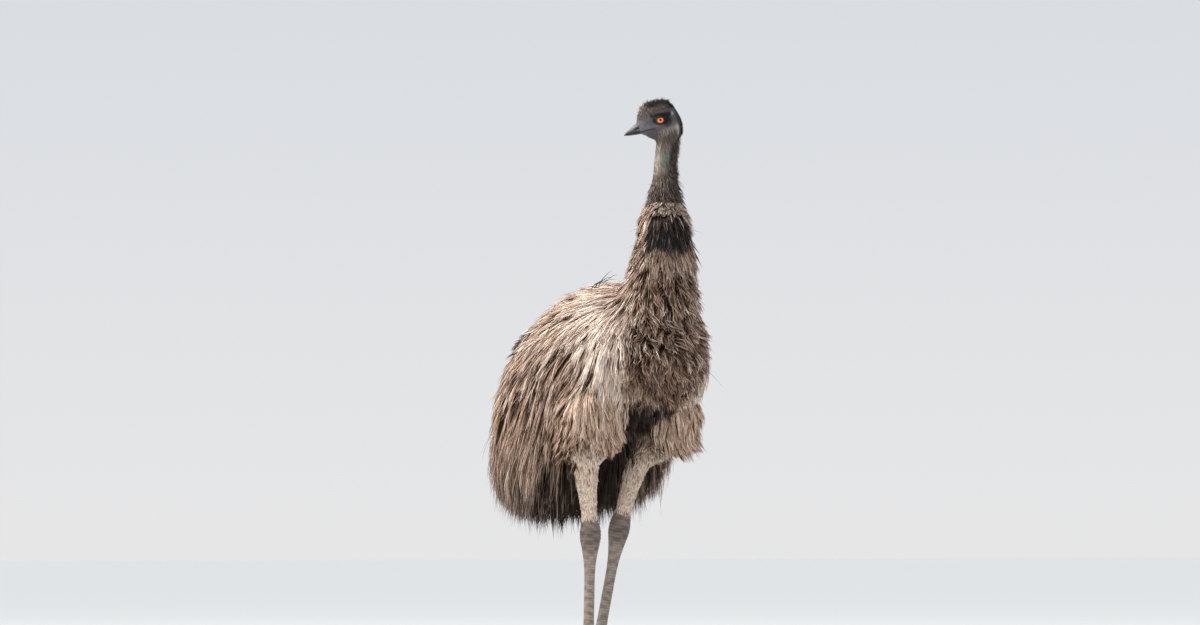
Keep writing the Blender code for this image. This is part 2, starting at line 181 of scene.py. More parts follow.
VIEW_AZIMUTH = math.radians(-35)
CAMERA_DISTANCE = 32.0
CAMERA_HEIGHT = 0.44
FRAME_WIDTH = 3.765
AIM = np.array([0.0031, -0.0022, 1.081])
toward_camera = level_way(VIEW_AZIMUTH)

camera = bpy.data.objects.new("camera", bpy.data.cameras.new("camera"))
bpy.context.collection.objects.link(camera)
place = AIM + toward_camera * CAMERA_DISTANCE
place[2] = CAMERA_HEIGHT
camera.location = place
camera.rotation_euler = (Vector(AIM) - Vector(place)).to_track_quat("-Z", "Y").to_euler()
camera.data.sensor_width = 36
camera.data.lens = 36 * CAMERA_DISTANCE / FRAME_WIDTH
camera.data.clip_end = 200
bpy.context.scene.camera = camera
print("lens, mm:", round(camera.data.lens, 1))

# %% [markdown]
# ## Meshes from arrays
# Every piece is a grid or a set of strands worked out with numpy. One function puts points and
# faces into a mesh in a few bulk calls, adds a colour for each point and a map for each corner,
# and turns the faces outwards by the sign of the enclosed volume.

# %% The mesh maker
def build_mesh(name, points, quads, tris, material, colours, corner_map):
    """A mesh object at the origin. corner_map is (corners, 2), in the order quads then tris."""
    points = np.asarray(points, float).reshape(-1, 3)
    quads = np.asarray(quads, np.int64).reshape(-1, 4)
    tris = np.asarray(tris, np.int64).reshape(-1, 3)
    a, b, c, d = (points[quads[:, i]] for i in range(4))
    volume = np.einsum("ij,ij->", a, np.cross(b, c)) + np.einsum("ij,ij->", a, np.cross(c, d))
    a, b, c = (points[tris[:, i]] for i in range(3))
    volume += np.einsum("ij,ij->", a, np.cross(b, c))
    quad_map = corner_map[: quads.size].reshape(-1, 4, 2)
    tri_map = corner_map[quads.size :].reshape(-1, 3, 2)
    if volume < 0:
        quads, tris = quads[:, ::-1], tris[:, ::-1]
        quad_map, tri_map = quad_map[:, ::-1], tri_map[:, ::-1]
    mesh = bpy.data.meshes.new(name)
    mesh.vertices.add(len(points))
    mesh.vertices.foreach_set("co", (points + HOME).astype(np.float32).ravel())
    loops = np.concatenate([quads.ravel(), tris.ravel()])
    mesh.loops.add(len(loops))
    mesh.loops.foreach_set("vertex_index", loops.astype(np.int32))
    starts = np.concatenate([np.arange(len(quads)) * 4, quads.size + np.arange(len(tris)) * 3])
    mesh.polygons.add(len(starts))
    mesh.polygons.foreach_set("loop_start", starts.astype(np.int32))
    mesh.update(calc_edges=True)
    layer = mesh.attributes.new("marking", "FLOAT_COLOR", "POINT")
    alpha = np.ones((len(points), 1))
    layer.data.foreach_set("color", np.hstack([colours, alpha]).astype(np.float32).ravel())
    layer = mesh.uv_layers.new(name="OFBake")
    both = np.concatenate([quad_map.reshape(-1, 2), tri_map.reshape(-1, 2)])
    layer.data.foreach_set("uv", both.astype(np.float32).ravel())
    mesh.shade_smooth()
    mesh.materials.append(material)
    piece = bpy.data.objects.new(name, mesh)
    bpy.context.collection.objects.link(piece)
    print(f"{name}: {len(points)} points, {len(quads) * 2 + len(tris)} triangles")
    return piece


def finish_piece(piece, slot, *nodes):
    """Every piece is part of the one still body, and stands for the solids named."""
    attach(piece, "root")
    if nodes:
        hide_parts(*nodes)


def grid_faces(rows, columns):
    """Quads of a grid whose columns close into a ring."""
    index = np.arange(rows * columns).reshape(rows, columns)
    after = np.roll(index, -1, axis=1)
    return np.stack([index[:-1], after[:-1], after[1:], index[1:]], axis=-1).reshape(-1, 4)


def tube(rings):
    """Points, quads and tris of a tube through rings, closed by a fan round a point at each end."""
    rows, columns = rings.shape[:2]
    points = np.concatenate([rings.reshape(-1, 3), [rings[0].mean(0)], [rings[-1].mean(0)]])
    ring = np.arange(columns)
    after = np.roll(ring, -1)
    first = np.stack([np.full(columns, rows * columns), after, ring], axis=-1)
    offset = (rows - 1) * columns
    last = np.stack([np.full(columns, rows * columns + 1), ring + offset, after + offset], axis=-1)
    return points, grid_faces(rows, columns), np.concatenate([first, last])


def corners_of(*places):
    """Map places of all faces, from a pair (u, v) of arrays for each corner of a face."""
    axis = np.ndim(places[0][0])
    pairs = [np.stack(np.broadcast_arrays(*pair), -1) for pair in places]
    return np.stack(pairs, axis=axis).reshape(-1, 2)


def tube_map(rows, columns, low=(0.01, 0.01), high=(0.99, 0.99)):
    """The corner map of a tube: across is the place around it, up is the place along it."""
    u = np.linspace(low[0], high[0], columns + 1)
    v = low[1] + (high[1] - low[1]) * np.linspace(0, 1, rows)
    i, j = np.meshgrid(np.arange(rows - 1), np.arange(columns), indexing="ij")
    k = np.arange(columns)
    tip_u, tip_v = (u[k] + u[k + 1]) / 2, 0.004  # a fan's middle lies a little past the last ring
    low_v, high_v = np.full(columns, v[0]), np.full(columns, v[-1])
    faces = (
        ((u[j], v[i]), (u[j + 1], v[i]), (u[j + 1], v[i + 1]), (u[j], v[i + 1])),
        ((tip_u, low_v - tip_v), (u[k + 1], low_v), (u[k], low_v)),
        ((tip_u, high_v + tip_v), (u[k], high_v), (u[k + 1], high_v)),
    )
    return np.concatenate([corners_of(*corners) for corners in faces])


def tube_colours(colours):
    """Colours of a tube's points: its rings' own, and the first of an end ring for its middle."""
    flat = colours.reshape(-1, 3)
    return np.concatenate([flat, flat[:1], flat[-1:]])


def tube_piece(name, rings, colours, material, slot, *nodes):
    """A closed tube as a finished piece."""
    colours, corner_map = tube_colours(colours), tube_map(*rings.shape[:2])
    finish_piece(build_mesh(name, *tube(rings), material, colours, corner_map), slot, *nodes)


# %% [markdown]
# ## The forms under the skin
# A real bird's skin is one bag over several masses: an egg-shaped trunk, a tapering neck, a skull.
# Each mass is a field, a function that is negative inside and about the distance to the surface
# outside. A smooth minimum melts the fields into each other, as flesh does where a neck joins a
# body. The trunk and the skull are measured in slices, and the neck is a row of balls on a path.

# %% Measurements of the trunk: of its flesh, and out to the tips of the plumage
# slice angle (0 breast, 180 rump), top z, bottom z, z of the widest level, half-width
TRUNK_FLESH = (
    (0, 0.975, 0.955, 0.965, 0.000),
    (22, 1.050, 0.868, 0.960, 0.100),
    (45, 1.102, 0.795, 0.940, 0.168),
    (70, 1.142, 0.735, 0.900, 0.208),
    (90, 1.134, 0.672, 0.855, 0.218),
    (112, 1.060, 0.612, 0.800, 0.204),
    (130, 0.966, 0.585, 0.755, 0.168),
    (150, 0.848, 0.580, 0.705, 0.114),
    (168, 0.740, 0.605, 0.670, 0.052),
    (180, 0.672, 0.640, 0.656, 0.000),
)
FLESH_MIDDLE_Y, FLESH_HALF_LENGTH = 0.025, 0.395
TRUNK_PLUMAGE = (
    (0, 0.985, 0.955, 0.970, 0.000),
    (22, 1.085, 0.850, 0.965, 0.130),
    (45, 1.140, 0.760, 0.940, 0.208),
    (70, 1.178, 0.680, 0.890, 0.250),
    (80, 1.178, 0.622, 0.860, 0.258),
    (90, 1.170, 0.532, 0.825, 0.262),
    (100, 1.142, 0.456, 0.790, 0.260),
    (112, 1.095, 0.420, 0.755, 0.249),
    (130, 1.003, 0.426, 0.710, 0.213),
    (150, 0.880, 0.462, 0.670, 0.152),
    (168, 0.765, 0.535, 0.655, 0.070),
    (180, 0.670, 0.630, 0.650, 0.000),
)
PLUMAGE_MIDDLE_Y, PLUMAGE_HALF_LENGTH = 0.031, 0.436
BELLY_SQUARENESS = 0.68

# %% Measurements of the neck: x, y, z of its middle, radius of the flesh, radius with plumage
NECK = (
    (0.004, -0.208, 0.988, 0.128, 0.158),
    (0.009, -0.280, 1.093, 0.104, 0.136),
    (0.006, -0.313, 1.200, 0.077, 0.107),
    (0.003, -0.327, 1.270, 0.065, 0.090),
    (0.000, -0.332, 1.340, 0.058, 0.083),
    (0.000, -0.331, 1.380, 0.051, 0.072),
    (0.000, -0.333, 1.406, 0.047, 0.056),
    (-0.001, -0.3355, 1.430, 0.042, 0.047),
    (-0.002, -0.3350, 1.460, 0.038, 0.043),
    (-0.003, -0.3350, 1.500, 0.0338, 0.0370),
    (-0.0025, -0.3358, 1.536, 0.0318, 0.0345),
    (-0.001, -0.3400, 1.575, 0.0318, 0.0350),
    (0.0020, -0.3440, 1.610, 0.0312, 0.0355),
    (0.0065, -0.3445, 1.636, 0.0270, 0.0330),
)

# %% The two sides, and which way of x they lie
SIDES = {"R": -1, "L": 1}

# %% The legs: three places down the thigh, the hock, the ankle, and how the foot is turned
LEG = {
    "R": {
        "thigh": ((-0.130, -0.135, 0.860), (-0.166, -0.172, 0.740), (-0.118, -0.068, 0.625)),
        "hock": (-0.074, -0.036, 0.396),
        "ankle": (-0.0715, -0.0205, 0.034),
        "turn": 3,
    },
    "L": {
        "thigh": ((0.130, -0.095, 0.860), (0.164, -0.108, 0.745), (0.118, -0.022, 0.630)),
        "hock": (0.099, 0.049, 0.418),
        "ankle": (0.0805, 0.1455, 0.034),
        "turn": -8,
    },
}
THIGH_PLUMAGE = ((0.0, 0.104), (0.35, 0.111), (0.62, 0.104), (0.85, 0.082), (1.0, 0.052))

# %% The head's own axes and measurements
HEAD_TURN = math.radians(120)
HEAD_PITCH = math.radians(12)
EYES_MIDDLE = np.array([-0.0170, -0.3275, 1.6725])
HEAD_LEVEL = level_way(-HEAD_TURN)
HEAD_LEFT = np.array([-HEAD_LEVEL[1], HEAD_LEVEL[0], 0.0])
SKYWARD = np.array([0.0, 0.0, 1.0])
HEAD_FORWARD = HEAD_LEVEL * math.cos(HEAD_PITCH) - SKYWARD * math.sin(HEAD_PITCH)
HEAD_UP = np.cross(HEAD_FORWARD, HEAD_LEFT)
HEAD_AXES = np.stack([HEAD_FORWARD, HEAD_LEFT, HEAD_UP])
# mm forward of the eyes, crown height, throat depth, half-width, height of the widest level
SKULL = (
    (-65, -14, -22, 0, -18),
    (-62, 5, -41, 17.5, -17),
    (-54, 26, -56, 27, -13),
    (-41, 43.5, -66, 32.5, -9),
    (-24, 53, -69, 35.5, -5),
    (-4, 56, -66, 36, -1),
    (16, 56, -60, 33.5, 0),
    (36, 52, -50, 28.5, -2),
    (51, 42, -38, 21.0, -6),
    (60, 31, -32, 16.4, -10),
    (67, 18, -28, 13.0, -12),
    (72, 7, -25, 8.0, -12),
)
GAPE_HEIGHT = -23.3
EYE_OUT, EYE_RADIUS = 24.0, 18.0


def in_head(P):
    """Forward, left and up of the eyes' middle, in mm."""
    return (P - EYES_MIDDLE) @ HEAD_AXES.T / MM


def from_head(forward, left, up):
    """The place of head coordinates in mm."""
    parts = np.stack(np.broadcast_arrays(forward, left, up), axis=-1).astype(float)
    return EYES_MIDDLE + parts @ HEAD_AXES * MM


# %% The fields
def dense(table):
    """A table read once at many even places, for quick reading between them."""
    at = np.linspace(table[0][0], table[-1][0], 400)
    return at, smooth_table(table, at)


DENSE_FLESH, DENSE_PLUMAGE, DENSE_SKULL = dense(TRUNK_FLESH), dense(TRUNK_PLUMAGE), dense(SKULL)


def oval_field(across, height, top, bottom, widest, half, lower_power):
    """Distance outside a slice made of two half-ovals, along the line from its middle.

    Each half obeys |across / half|^n + |height / reach|^n = 1, with n = 2 above the widest level
    and 2 / lower_power below it.
    """
    rise = height - widest
    reach = np.maximum(np.where(rise > 0, top - widest, widest - bottom), 1e-4)
    half = np.maximum(half, 1e-4)
    n = np.where(rise > 0, 2.0, 2 / lower_power)
    q = (np.abs(across / half) ** n + np.abs(rise / reach) ** n) ** (1 / n)
    away = np.hypot(across, rise)
    return np.where(q > 1e-6, away * (1 - 1 / np.maximum(q, 1e-6)), -np.minimum(half, reach))


def trunk_field(P, slices, middle, half_length, squareness=BELLY_SQUARENESS, drop=0.0):
    """The trunk's slices, found by the angle whose cosine is the place along its length."""
    along = np.clip((middle - P[..., 1]) / half_length, -1, 1)
    angle = np.degrees(np.arccos(along))
    places, columns = slices
    top, bottom, widest, half = (np.interp(angle, places, columns[:, i]) for i in range(4))
    inside = oval_field(P[..., 0], P[..., 2], top, bottom - drop, widest, half, squareness)
    past = np.maximum(np.abs(P[..., 1] - middle) - half_length, 0)
    return np.where(past > 0, np.hypot(np.maximum(inside, 0), past), inside)


def path_length(points):
    """The length of a path up to each of its points."""
    return np.concatenate([[0], np.cumsum(np.linalg.norm(np.diff(points, axis=0), axis=1))])


def neck_balls(column):
    """Many balls on the neck's path, so close that they make a smooth tube."""
    rows = np.array(NECK)
    length = path_length(rows[:, :3])
    fine = smooth_table(np.column_stack([length, rows]), np.linspace(0, length[-1], 90))
    return fine[:, :3], fine[:, column]


def thigh_knots(side):
    """A table of the thigh's path: its three places at shares 0, 0.5 and 1."""
    return np.column_stack([(0, 0.5, 1), LEG[side]["thigh"]])


def thigh_balls(side):
    """Balls along the thigh, out to the plumage's tips."""
    share = np.linspace(0, 1, 14)
    return smooth_table(thigh_knots(side), share), smooth_table(THIGH_PLUMAGE, share)[:, 0]


FLESH_BALLS, PLUMAGE_BALLS = neck_balls(3), neck_balls(4)
THIGH_BALLS = {side: thigh_balls(side) for side in SIDES}


def ball_field(P, balls):
    """The least distance to any ball's surface."""
    centres, radii = balls
    best = np.full(P.shape[:-1], np.inf)
    for centre, radius in zip(centres, radii):
        best = np.minimum(best, np.linalg.norm(P - centre, axis=-1) - radius)
    return best


def skull_field(P):
    """The skull's slices across its forward axis, in metres."""
    f, l, u = axes(in_head(P))
    places, columns = DENSE_SKULL
    at = np.clip(f, places[0], places[-1])
    top, bottom, half, widest = (np.interp(at, places, columns[:, i]) for i in range(4))
    inside = oval_field(l, u, top, bottom, widest, half, 0.95)
    past = np.maximum(np.abs(f - np.clip(f, places[0], places[-1])), 0)
    return np.where(past > 0, np.hypot(np.maximum(inside, 0), past), inside) * MM


def melt(a, b, width):
    """A smooth minimum: the lower field, rounded over where they are within `width`."""
    h = np.clip(0.5 + 0.5 * (b - a) / width, 0, 1)
    return b * (1 - h) + a * h - width * h * (1 - h)


def egg_field(P, centre, size):
    """About the distance to an egg, given in the head's axes in mm."""
    q = np.linalg.norm((in_head(P) - centre) / size, axis=-1)
    return (q - 1) * min(size) * MM


def flesh_field(P):
    """The bird's whole trunk, neck and head, negative inside."""
    body = trunk_field(P, DENSE_FLESH, FLESH_MIDDLE_Y, FLESH_HALF_LENGTH)
    neck = ball_field(P, FLESH_BALLS)
    low = melt(body, neck, 0.045)
    near_head = P[..., 2] > 1.50
    if not near_head.any():
        return low
    H = P[near_head]
    head = skull_field(H)
    for side in SIDES.values():
        head = melt(head, egg_field(H, (4, side * 29.5, 13), (19, 6.5, 6)), 0.006)
        head = melt(head, egg_field(H, (-26, side * 27, -28), (24, 8, 18)), 0.010)
    joined = melt(head, low[near_head], 0.016)
    f, l, u = axes(in_head(H))
    crease = bell(u - GAPE_HEIGHT - 0.05 * (60 - f), 0, 1.7) * ramp(f, 10, 22)
    joined = joined + 1.7 * MM * crease * ramp(np.abs(l), 2, 8)
    low = low.copy()
    low[near_head] = joined
    return low


def plumage_field(P):
    """The same bird out to the tips of its plumage, below the head.

    Beside the legs the drape hangs almost straight, so its slices are squarer and deeper there. The
    small wings lie hidden under the coat, and balls carry it over the thighs.
    """
    y = P[..., 1]
    beside = ramp(y, -0.12, -0.04) * fall(y, 0.12, 0.28)
    squareness = BELLY_SQUARENESS - 0.42 * beside
    drop = 0.05 * bell(y, 0.02, 0.06)
    body = trunk_field(P, DENSE_PLUMAGE, PLUMAGE_MIDDLE_Y, PLUMAGE_HALF_LENGTH, squareness, drop)
    whole = melt(body, ball_field(P, PLUMAGE_BALLS), 0.032)
    for balls in THIGH_BALLS.values():
        whole = melt(whole, ball_field(P, balls), 0.045)
    return whole


def slope(field, P):
    """The way straight out of a field: its gradient by central differences, made a unit length."""
    steps = np.eye(3) * 1.5 * MM
    parts = [field(P + step) - field(P - step) for step in steps]
    return unit(np.stack(parts, axis=-1))


# %% [markdown]
# ## Casting the skin
# The skin has to be one unbroken surface with an even net of faces, finest on the head. A line
# runs inside the bird from rump to bill. At each station on it stands a plane, and rays in that
# plane go out until they leave the flesh. Where the line bends, at the root of the neck and under
# the skull, the planes fan around a pivot outside the inner side of the bend, so they never cross.

# %% Stations along the bird
AROUND = 144
PIVOT_NECK = np.array([0.0, -0.06, 1.26])
PIVOT_HEAD = from_head(32, 0, -75)
RUMP_Y = 0.4198  # just inside the flesh's hind end
ROOT_RADIUS = 0.265  # from the neck's pivot to the line, where the neck's own planes start
# how many planes each part has
PLANES = {"trunk": 54, "root": 40, "neck": 104, "throat": 112, "face": 48}
# and how far their rays may go, in metres
REACH = {"trunk": 0.40, "root": 0.42, "low neck": 0.16, "neck": 0.085, "throat": 0.125}
REACH["face"] = REACH["neck"]


def interp_rows(at, rows):
    """Linear reading of a small table: first column is the place."""
    rows = np.array(rows, float)
    return np.stack([np.interp(at, rows[:, 0], rows[:, i]) for i in range(1, rows.shape[1])], -1)


def stations():
    """Middle, back-ward and left-ward directions of each plane, and how far its rays may go."""
    right_angle = math.pi / 2
    middles, backs, lefts, reaches = [], [], [], []
    # across the trunk, from the rump
    share = 1 - np.cos(np.linspace(0.06, right_angle, PLANES["trunk"]))
    y = RUMP_Y + (PIVOT_NECK[1] - RUMP_Y) * share
    angle = np.degrees(np.arccos(np.clip((FLESH_MIDDLE_Y - y) / FLESH_HALF_LENGTH, -1, 1)))
    z = np.interp(angle, DENSE_FLESH[0], DENSE_FLESH[1][:, 2])
    middles.append(np.stack([0 * y, y, z], -1))
    backs.append(np.tile([0.0, 0, 1], (len(y), 1)))
    lefts.append(np.tile([1.0, 0, 0], (len(y), 1)))
    reaches.append(np.full((len(y), AROUND), REACH["trunk"]))
    # fan at the root of the neck
    turn = np.linspace(0, right_angle, PLANES["root"])[1:]
    drop = PIVOT_NECK[2] - z[-1]
    radius = drop + (ROOT_RADIUS - drop) * turn / right_angle
    back = np.stack([0 * turn, np.sin(turn), np.cos(turn)], -1)
    middles.append(PIVOT_NECK - back * radius[:, None])
    backs.append(back)
    lefts.append(np.tile([1.0, 0, 0], (len(turn), 1)))
    inner = np.maximum(np.cos(turns(AROUND)), 1e-3)
    reaches.append(np.minimum(REACH["root"], 0.96 * radius[:, None] / inner))
    # up the neck, turning the planes' axes with the head
    z = np.linspace(PIVOT_NECK[2], PIVOT_HEAD[2], PLANES["neck"])[1:]
    path = interp_rows(z, [(row[2], row[0], row[1]) for row in NECK])
    turned = ramp(z, 1.30, 1.57) * HEAD_TURN
    heading = right_angle - turned
    middles.append(np.column_stack([path, z]))
    backs.append(np.stack([np.cos(heading), np.sin(heading), 0 * z], -1))
    lefts.append(np.stack([np.sin(heading), -np.cos(heading), 0 * z], -1))
    reach = np.where(z > 1.4, REACH["neck"], REACH["low neck"])
    reaches.append(np.tile(reach[:, None], (1, AROUND)))
    # fan under the skull
    turn = np.linspace(0, right_angle + HEAD_PITCH, PLANES["throat"])[1:]
    radius = 0.040 + 0.002 * turn / turn[-1]
    back = -HEAD_LEVEL * np.cos(turn)[:, None] + SKYWARD * np.sin(turn)[:, None]
    start = middles[-1][-1] - (PIVOT_HEAD - HEAD_LEVEL * radius[0])
    fade = (1 - turn / turn[-1])[:, None]
    middles.append(PIVOT_HEAD + back * radius[:, None] + start * fade)
    backs.append(back)
    lefts.append(np.tile(HEAD_LEFT, (len(turn), 1)))
    outer = np.maximum(-np.cos(turns(AROUND)), 1e-3)
    reaches.append(np.minimum(REACH["throat"], 0.96 * radius[:, None] / outer))
    # forward through the face
    f = 32 + (71.0 - 32) * np.sin(np.linspace(0, right_angle, PLANES["face"])[1:])
    middles.append(from_head(f, 0, np.interp(f, (32, 57, 71), (-33, -15, -11))))
    backs.append(np.tile(HEAD_UP, (len(f), 1)))
    lefts.append(np.tile(HEAD_LEFT, (len(f), 1)))
    reaches.append(np.full((len(f), AROUND), REACH["face"]))
    return [np.concatenate(part) for part in (middles, backs, lefts, reaches)]


def cast(field, middles, backs, lefts, reaches, steps=34, halvings=14):
    """For each ray, the first place where the field turns positive, closed in on by halving."""
    theta = np.arange(reaches.shape[1]) * 2 * math.pi / reaches.shape[1]
    rays = np.cos(theta)[:, None] * backs[:, None] + np.sin(theta)[:, None] * lefts[:, None]
    near, far = np.zeros(reaches.shape), reaches.copy()
    found = np.zeros(reaches.shape, bool)
    for step in range(1, steps + 1):
        at = reaches * step / steps
        out = (field(middles[:, None] + rays * at[..., None]) > 0) & ~found
        far = np.where(out, at, far)
        found |= out
        near = np.where(found, near, at)
    for _ in range(halvings):
        half = (near + far) / 2
        out = field(middles[:, None] + rays * half[..., None]) > 0
        far, near = np.where(out, half, far), np.where(out, near, half)
    return middles[:, None] + rays * far[..., None], found


SPINE = stations()
skin_rings, reached = cast(flesh_field, *SPINE)
print("skin net:", skin_rings.shape[:2], "rays that found no surface:", int((~reached).sum()))

# %% [markdown]
# ## Finishes
# Most of what is seen is keratin or skin coloured by pigment, so the markings are worked out for
# every point of a piece and kept in its colour attribute "marking". The same attribute carries
# painted shade as well: dark strand roots, dark skin under the coat, dark grooves, creases and
# hollows. Each material reads that attribute, breaks it up with noise at a real size, and adds its
# own roughness and relief.

# %% One function for nodes, and the start of a material
def add(tree, kind, inputs=None, **settings):
    """A node of a kind, with its settings, and inputs that are values or sockets to link from."""
    made = tree.nodes.new(kind)
    for name, value in settings.items():
        setattr(made, name, value)
    for name, value in (inputs or {}).items():
        socket = made.inputs[name]
        if isinstance(value, bpy.types.NodeSocket):
            tree.links.new(value, socket)
        else:
            socket.default_value = value
    return made


def shaded(name, colour, height=None, bump_mm=0.0, strength=0.0, **surface):
    """A material from a function for colour and one for height, both of (tree, place).

    `surface` holds the shader's other values: a keyword is a socket's name with _ for each space.
    """
    material = bpy.data.materials.new(name)
    material.use_nodes = True
    tree = material.node_tree
    tree.nodes.clear()
    place = add(tree, "ShaderNodeTexCoord").outputs["Object"]
    inputs = {"Base Color": colour(tree, place)}
    inputs.update((socket.replace("_", " "), value) for socket, value in surface.items())
    if height:
        relief = {"Height": height(tree, place), "Distance": bump_mm * MM, "Strength": strength}
        inputs["Normal"] = add(tree, "ShaderNodeBump", relief).outputs["Normal"]
    shader = add(tree, "ShaderNodeBsdfPrincipled", inputs)
    add(tree, "ShaderNodeOutputMaterial", {"Surface": shader.outputs["BSDF"]})
    return material


def marking_with_noise(scale, darkest, palest, detail=4.0):
    """The marking times a factor from darkest to palest, by noise of `scale` cells in a metre."""

    def colour(tree, place):
        marking = add(tree, "ShaderNodeAttribute", attribute_name="marking")
        noise = add(tree, "ShaderNodeTexNoise", {"Vector": place, "Scale": scale, "Detail": detail})
        limits = {"From Min": 0.3, "From Max": 0.7, "To Min": darkest, "To Max": palest}
        factor = add(tree, "ShaderNodeMapRange", {"Value": noise.outputs["Fac"], **limits})
        pair = {0: marking.outputs["Color"], 1: factor.outputs["Result"]}
        product = add(tree, "ShaderNodeVectorMath", pair, operation="MULTIPLY")
        return product.outputs["Vector"]

    return colour


def cells(size_mm):
    """Height from rounded cells of a size in mm, as on pebbled skin."""

    def height(tree, place):
        layout = {"Vector": place, "Scale": 1000 / size_mm, "Smoothness": 0.4}
        pattern = add(tree, "ShaderNodeTexVoronoi", layout, feature="SMOOTH_F1")
        pair = {0: 1.0, 1: pattern.outputs["Distance"]}
        return add(tree, "ShaderNodeMath", pair, operation="SUBTRACT").outputs["Value"]

    return height


def fine_noise(scale):
    """Height from noise of `scale` cells in a metre."""

    def height(tree, place):
        grain = {"Vector": place, "Scale": scale, "Detail": 6.0}
        return add(tree, "ShaderNodeTexNoise", grain).outputs["Fac"]

    return height


# %% The materials
KERATIN_IOR = 1.54

# Feather keratin, loose barbs with no hooks: light is caught between them, so it hardly shines.
FEATHER = shaded(
    "feather_keratin_loose_barbs", marking_with_noise(140, 0.84, 1.14),
    Roughness=0.80, Specular_IOR_Level=0.12, IOR=KERATIN_IOR,
)
# Bristles are bare shafts, harder and glossier than a vane.
BRISTLE = shaded(
    "feather_shaft_bristle", marking_with_noise(900, 0.85, 1.12),
    Roughness=0.55, Specular_IOR_Level=0.22, IOR=KERATIN_IOR,
)
# Bare skin, pebbled by the follicles of its few feathers: matt with a faint oily shine.
BARE_SKIN = shaded(
    "bare_skin_pebbled", marking_with_noise(420, 0.80, 1.20), cells(1.5), 0.5, 0.55,
    Roughness=0.60, Specular_IOR_Level=0.20, IOR=1.42,
)
# Scutes and small scales of a leg: dry keratin plates, whose grooves are painted dark as shade in
# the marking.
LEG_SCALES = shaded(
    "leg_scale_keratin_dry", marking_with_noise(260, 0.72, 1.22, 6.0), cells(2.6), 0.5, 0.5,
    Roughness=0.66, Specular_IOR_Level=0.35, IOR=KERATIN_IOR,
)
# The horn sheath of the bill grows in fine layers from root to tip, so its wear is streaky.
BILL_HORN = shaded(
    "bill_horn_worn", marking_with_noise(500, 0.78, 1.20, 5.0), fine_noise(900), 0.25, 0.35,
    Roughness=0.48, Specular_IOR_Level=0.35, IOR=KERATIN_IOR,
)
# Claws scrape the ground, so their horn is rubbed and scratched, and blunter in its shine.
CLAW_HORN = shaded(
    "claw_horn_scuffed", marking_with_noise(350, 0.75, 1.25, 5.0), fine_noise(700), 0.3, 0.5,
    Roughness=0.45, IOR=KERATIN_IOR,
)
# A wet cornea over a coloured iris. The clear coat is the tear film, as smooth as glass.
EYE_WET = shaded(
    "eye_wet_cornea", marking_with_noise(1500, 0.93, 1.06),
    Roughness=0.25, IOR=1.376, Coat_Weight=0.35, Coat_Roughness=0.02,
)
print("materials:", len(bpy.data.materials))

# %% [markdown]
# ## The markings
# The palette is small: cream, tan, brown and near-black feathers, slate and pale grey skin, and a
# blue-green patch on the bare upper neck. Where each belongs is a set of soft masks over the
# bird's own coordinates. The neck is twisted, because the head looks over the right shoulder, so
# its masks are set by the direction round the neck.

# %% Palette and masks
CREAM, TAN, BROWN = linear("#f2e2d5"), linear("#b59b88"), linear("#6e5343")
UMBER, SOOT = linear("#35241a"), linear("#130f0d")
SLATE, MASK = linear("#4a474d"), linear("#0f0e10")
TEAL, NAPE, BILL_BASE = linear("#40655f"), linear("#2b2420"), linear("#5b595f")


def neck_centre(z):
    """The neck's middle at a height."""
    rows = np.array(NECK)
    return np.stack([np.interp(z, rows[:, 2], rows[:, i]) for i in (0, 1)], axis=-1)


def facing(P, direction):
    """How far a place on the neck faces a level direction: 1 full face, -1 straight behind."""
    off = P[..., :2] - neck_centre(P[..., 2])
    return unit(off) @ direction


# throat folds run steeply down and back, so their noise is stretched along that way
FOLD_WAY = unit(np.array([0.25, -0.15, -1.0]))
FOLD_AXES = np.eye(3) - 0.75 * np.outer(FOLD_WAY, FOLD_WAY)
STREAK_AXES = np.array([[1, 1, 0.22], [1, 1, 0.3]])  # coarse and fine streaks run down the neck


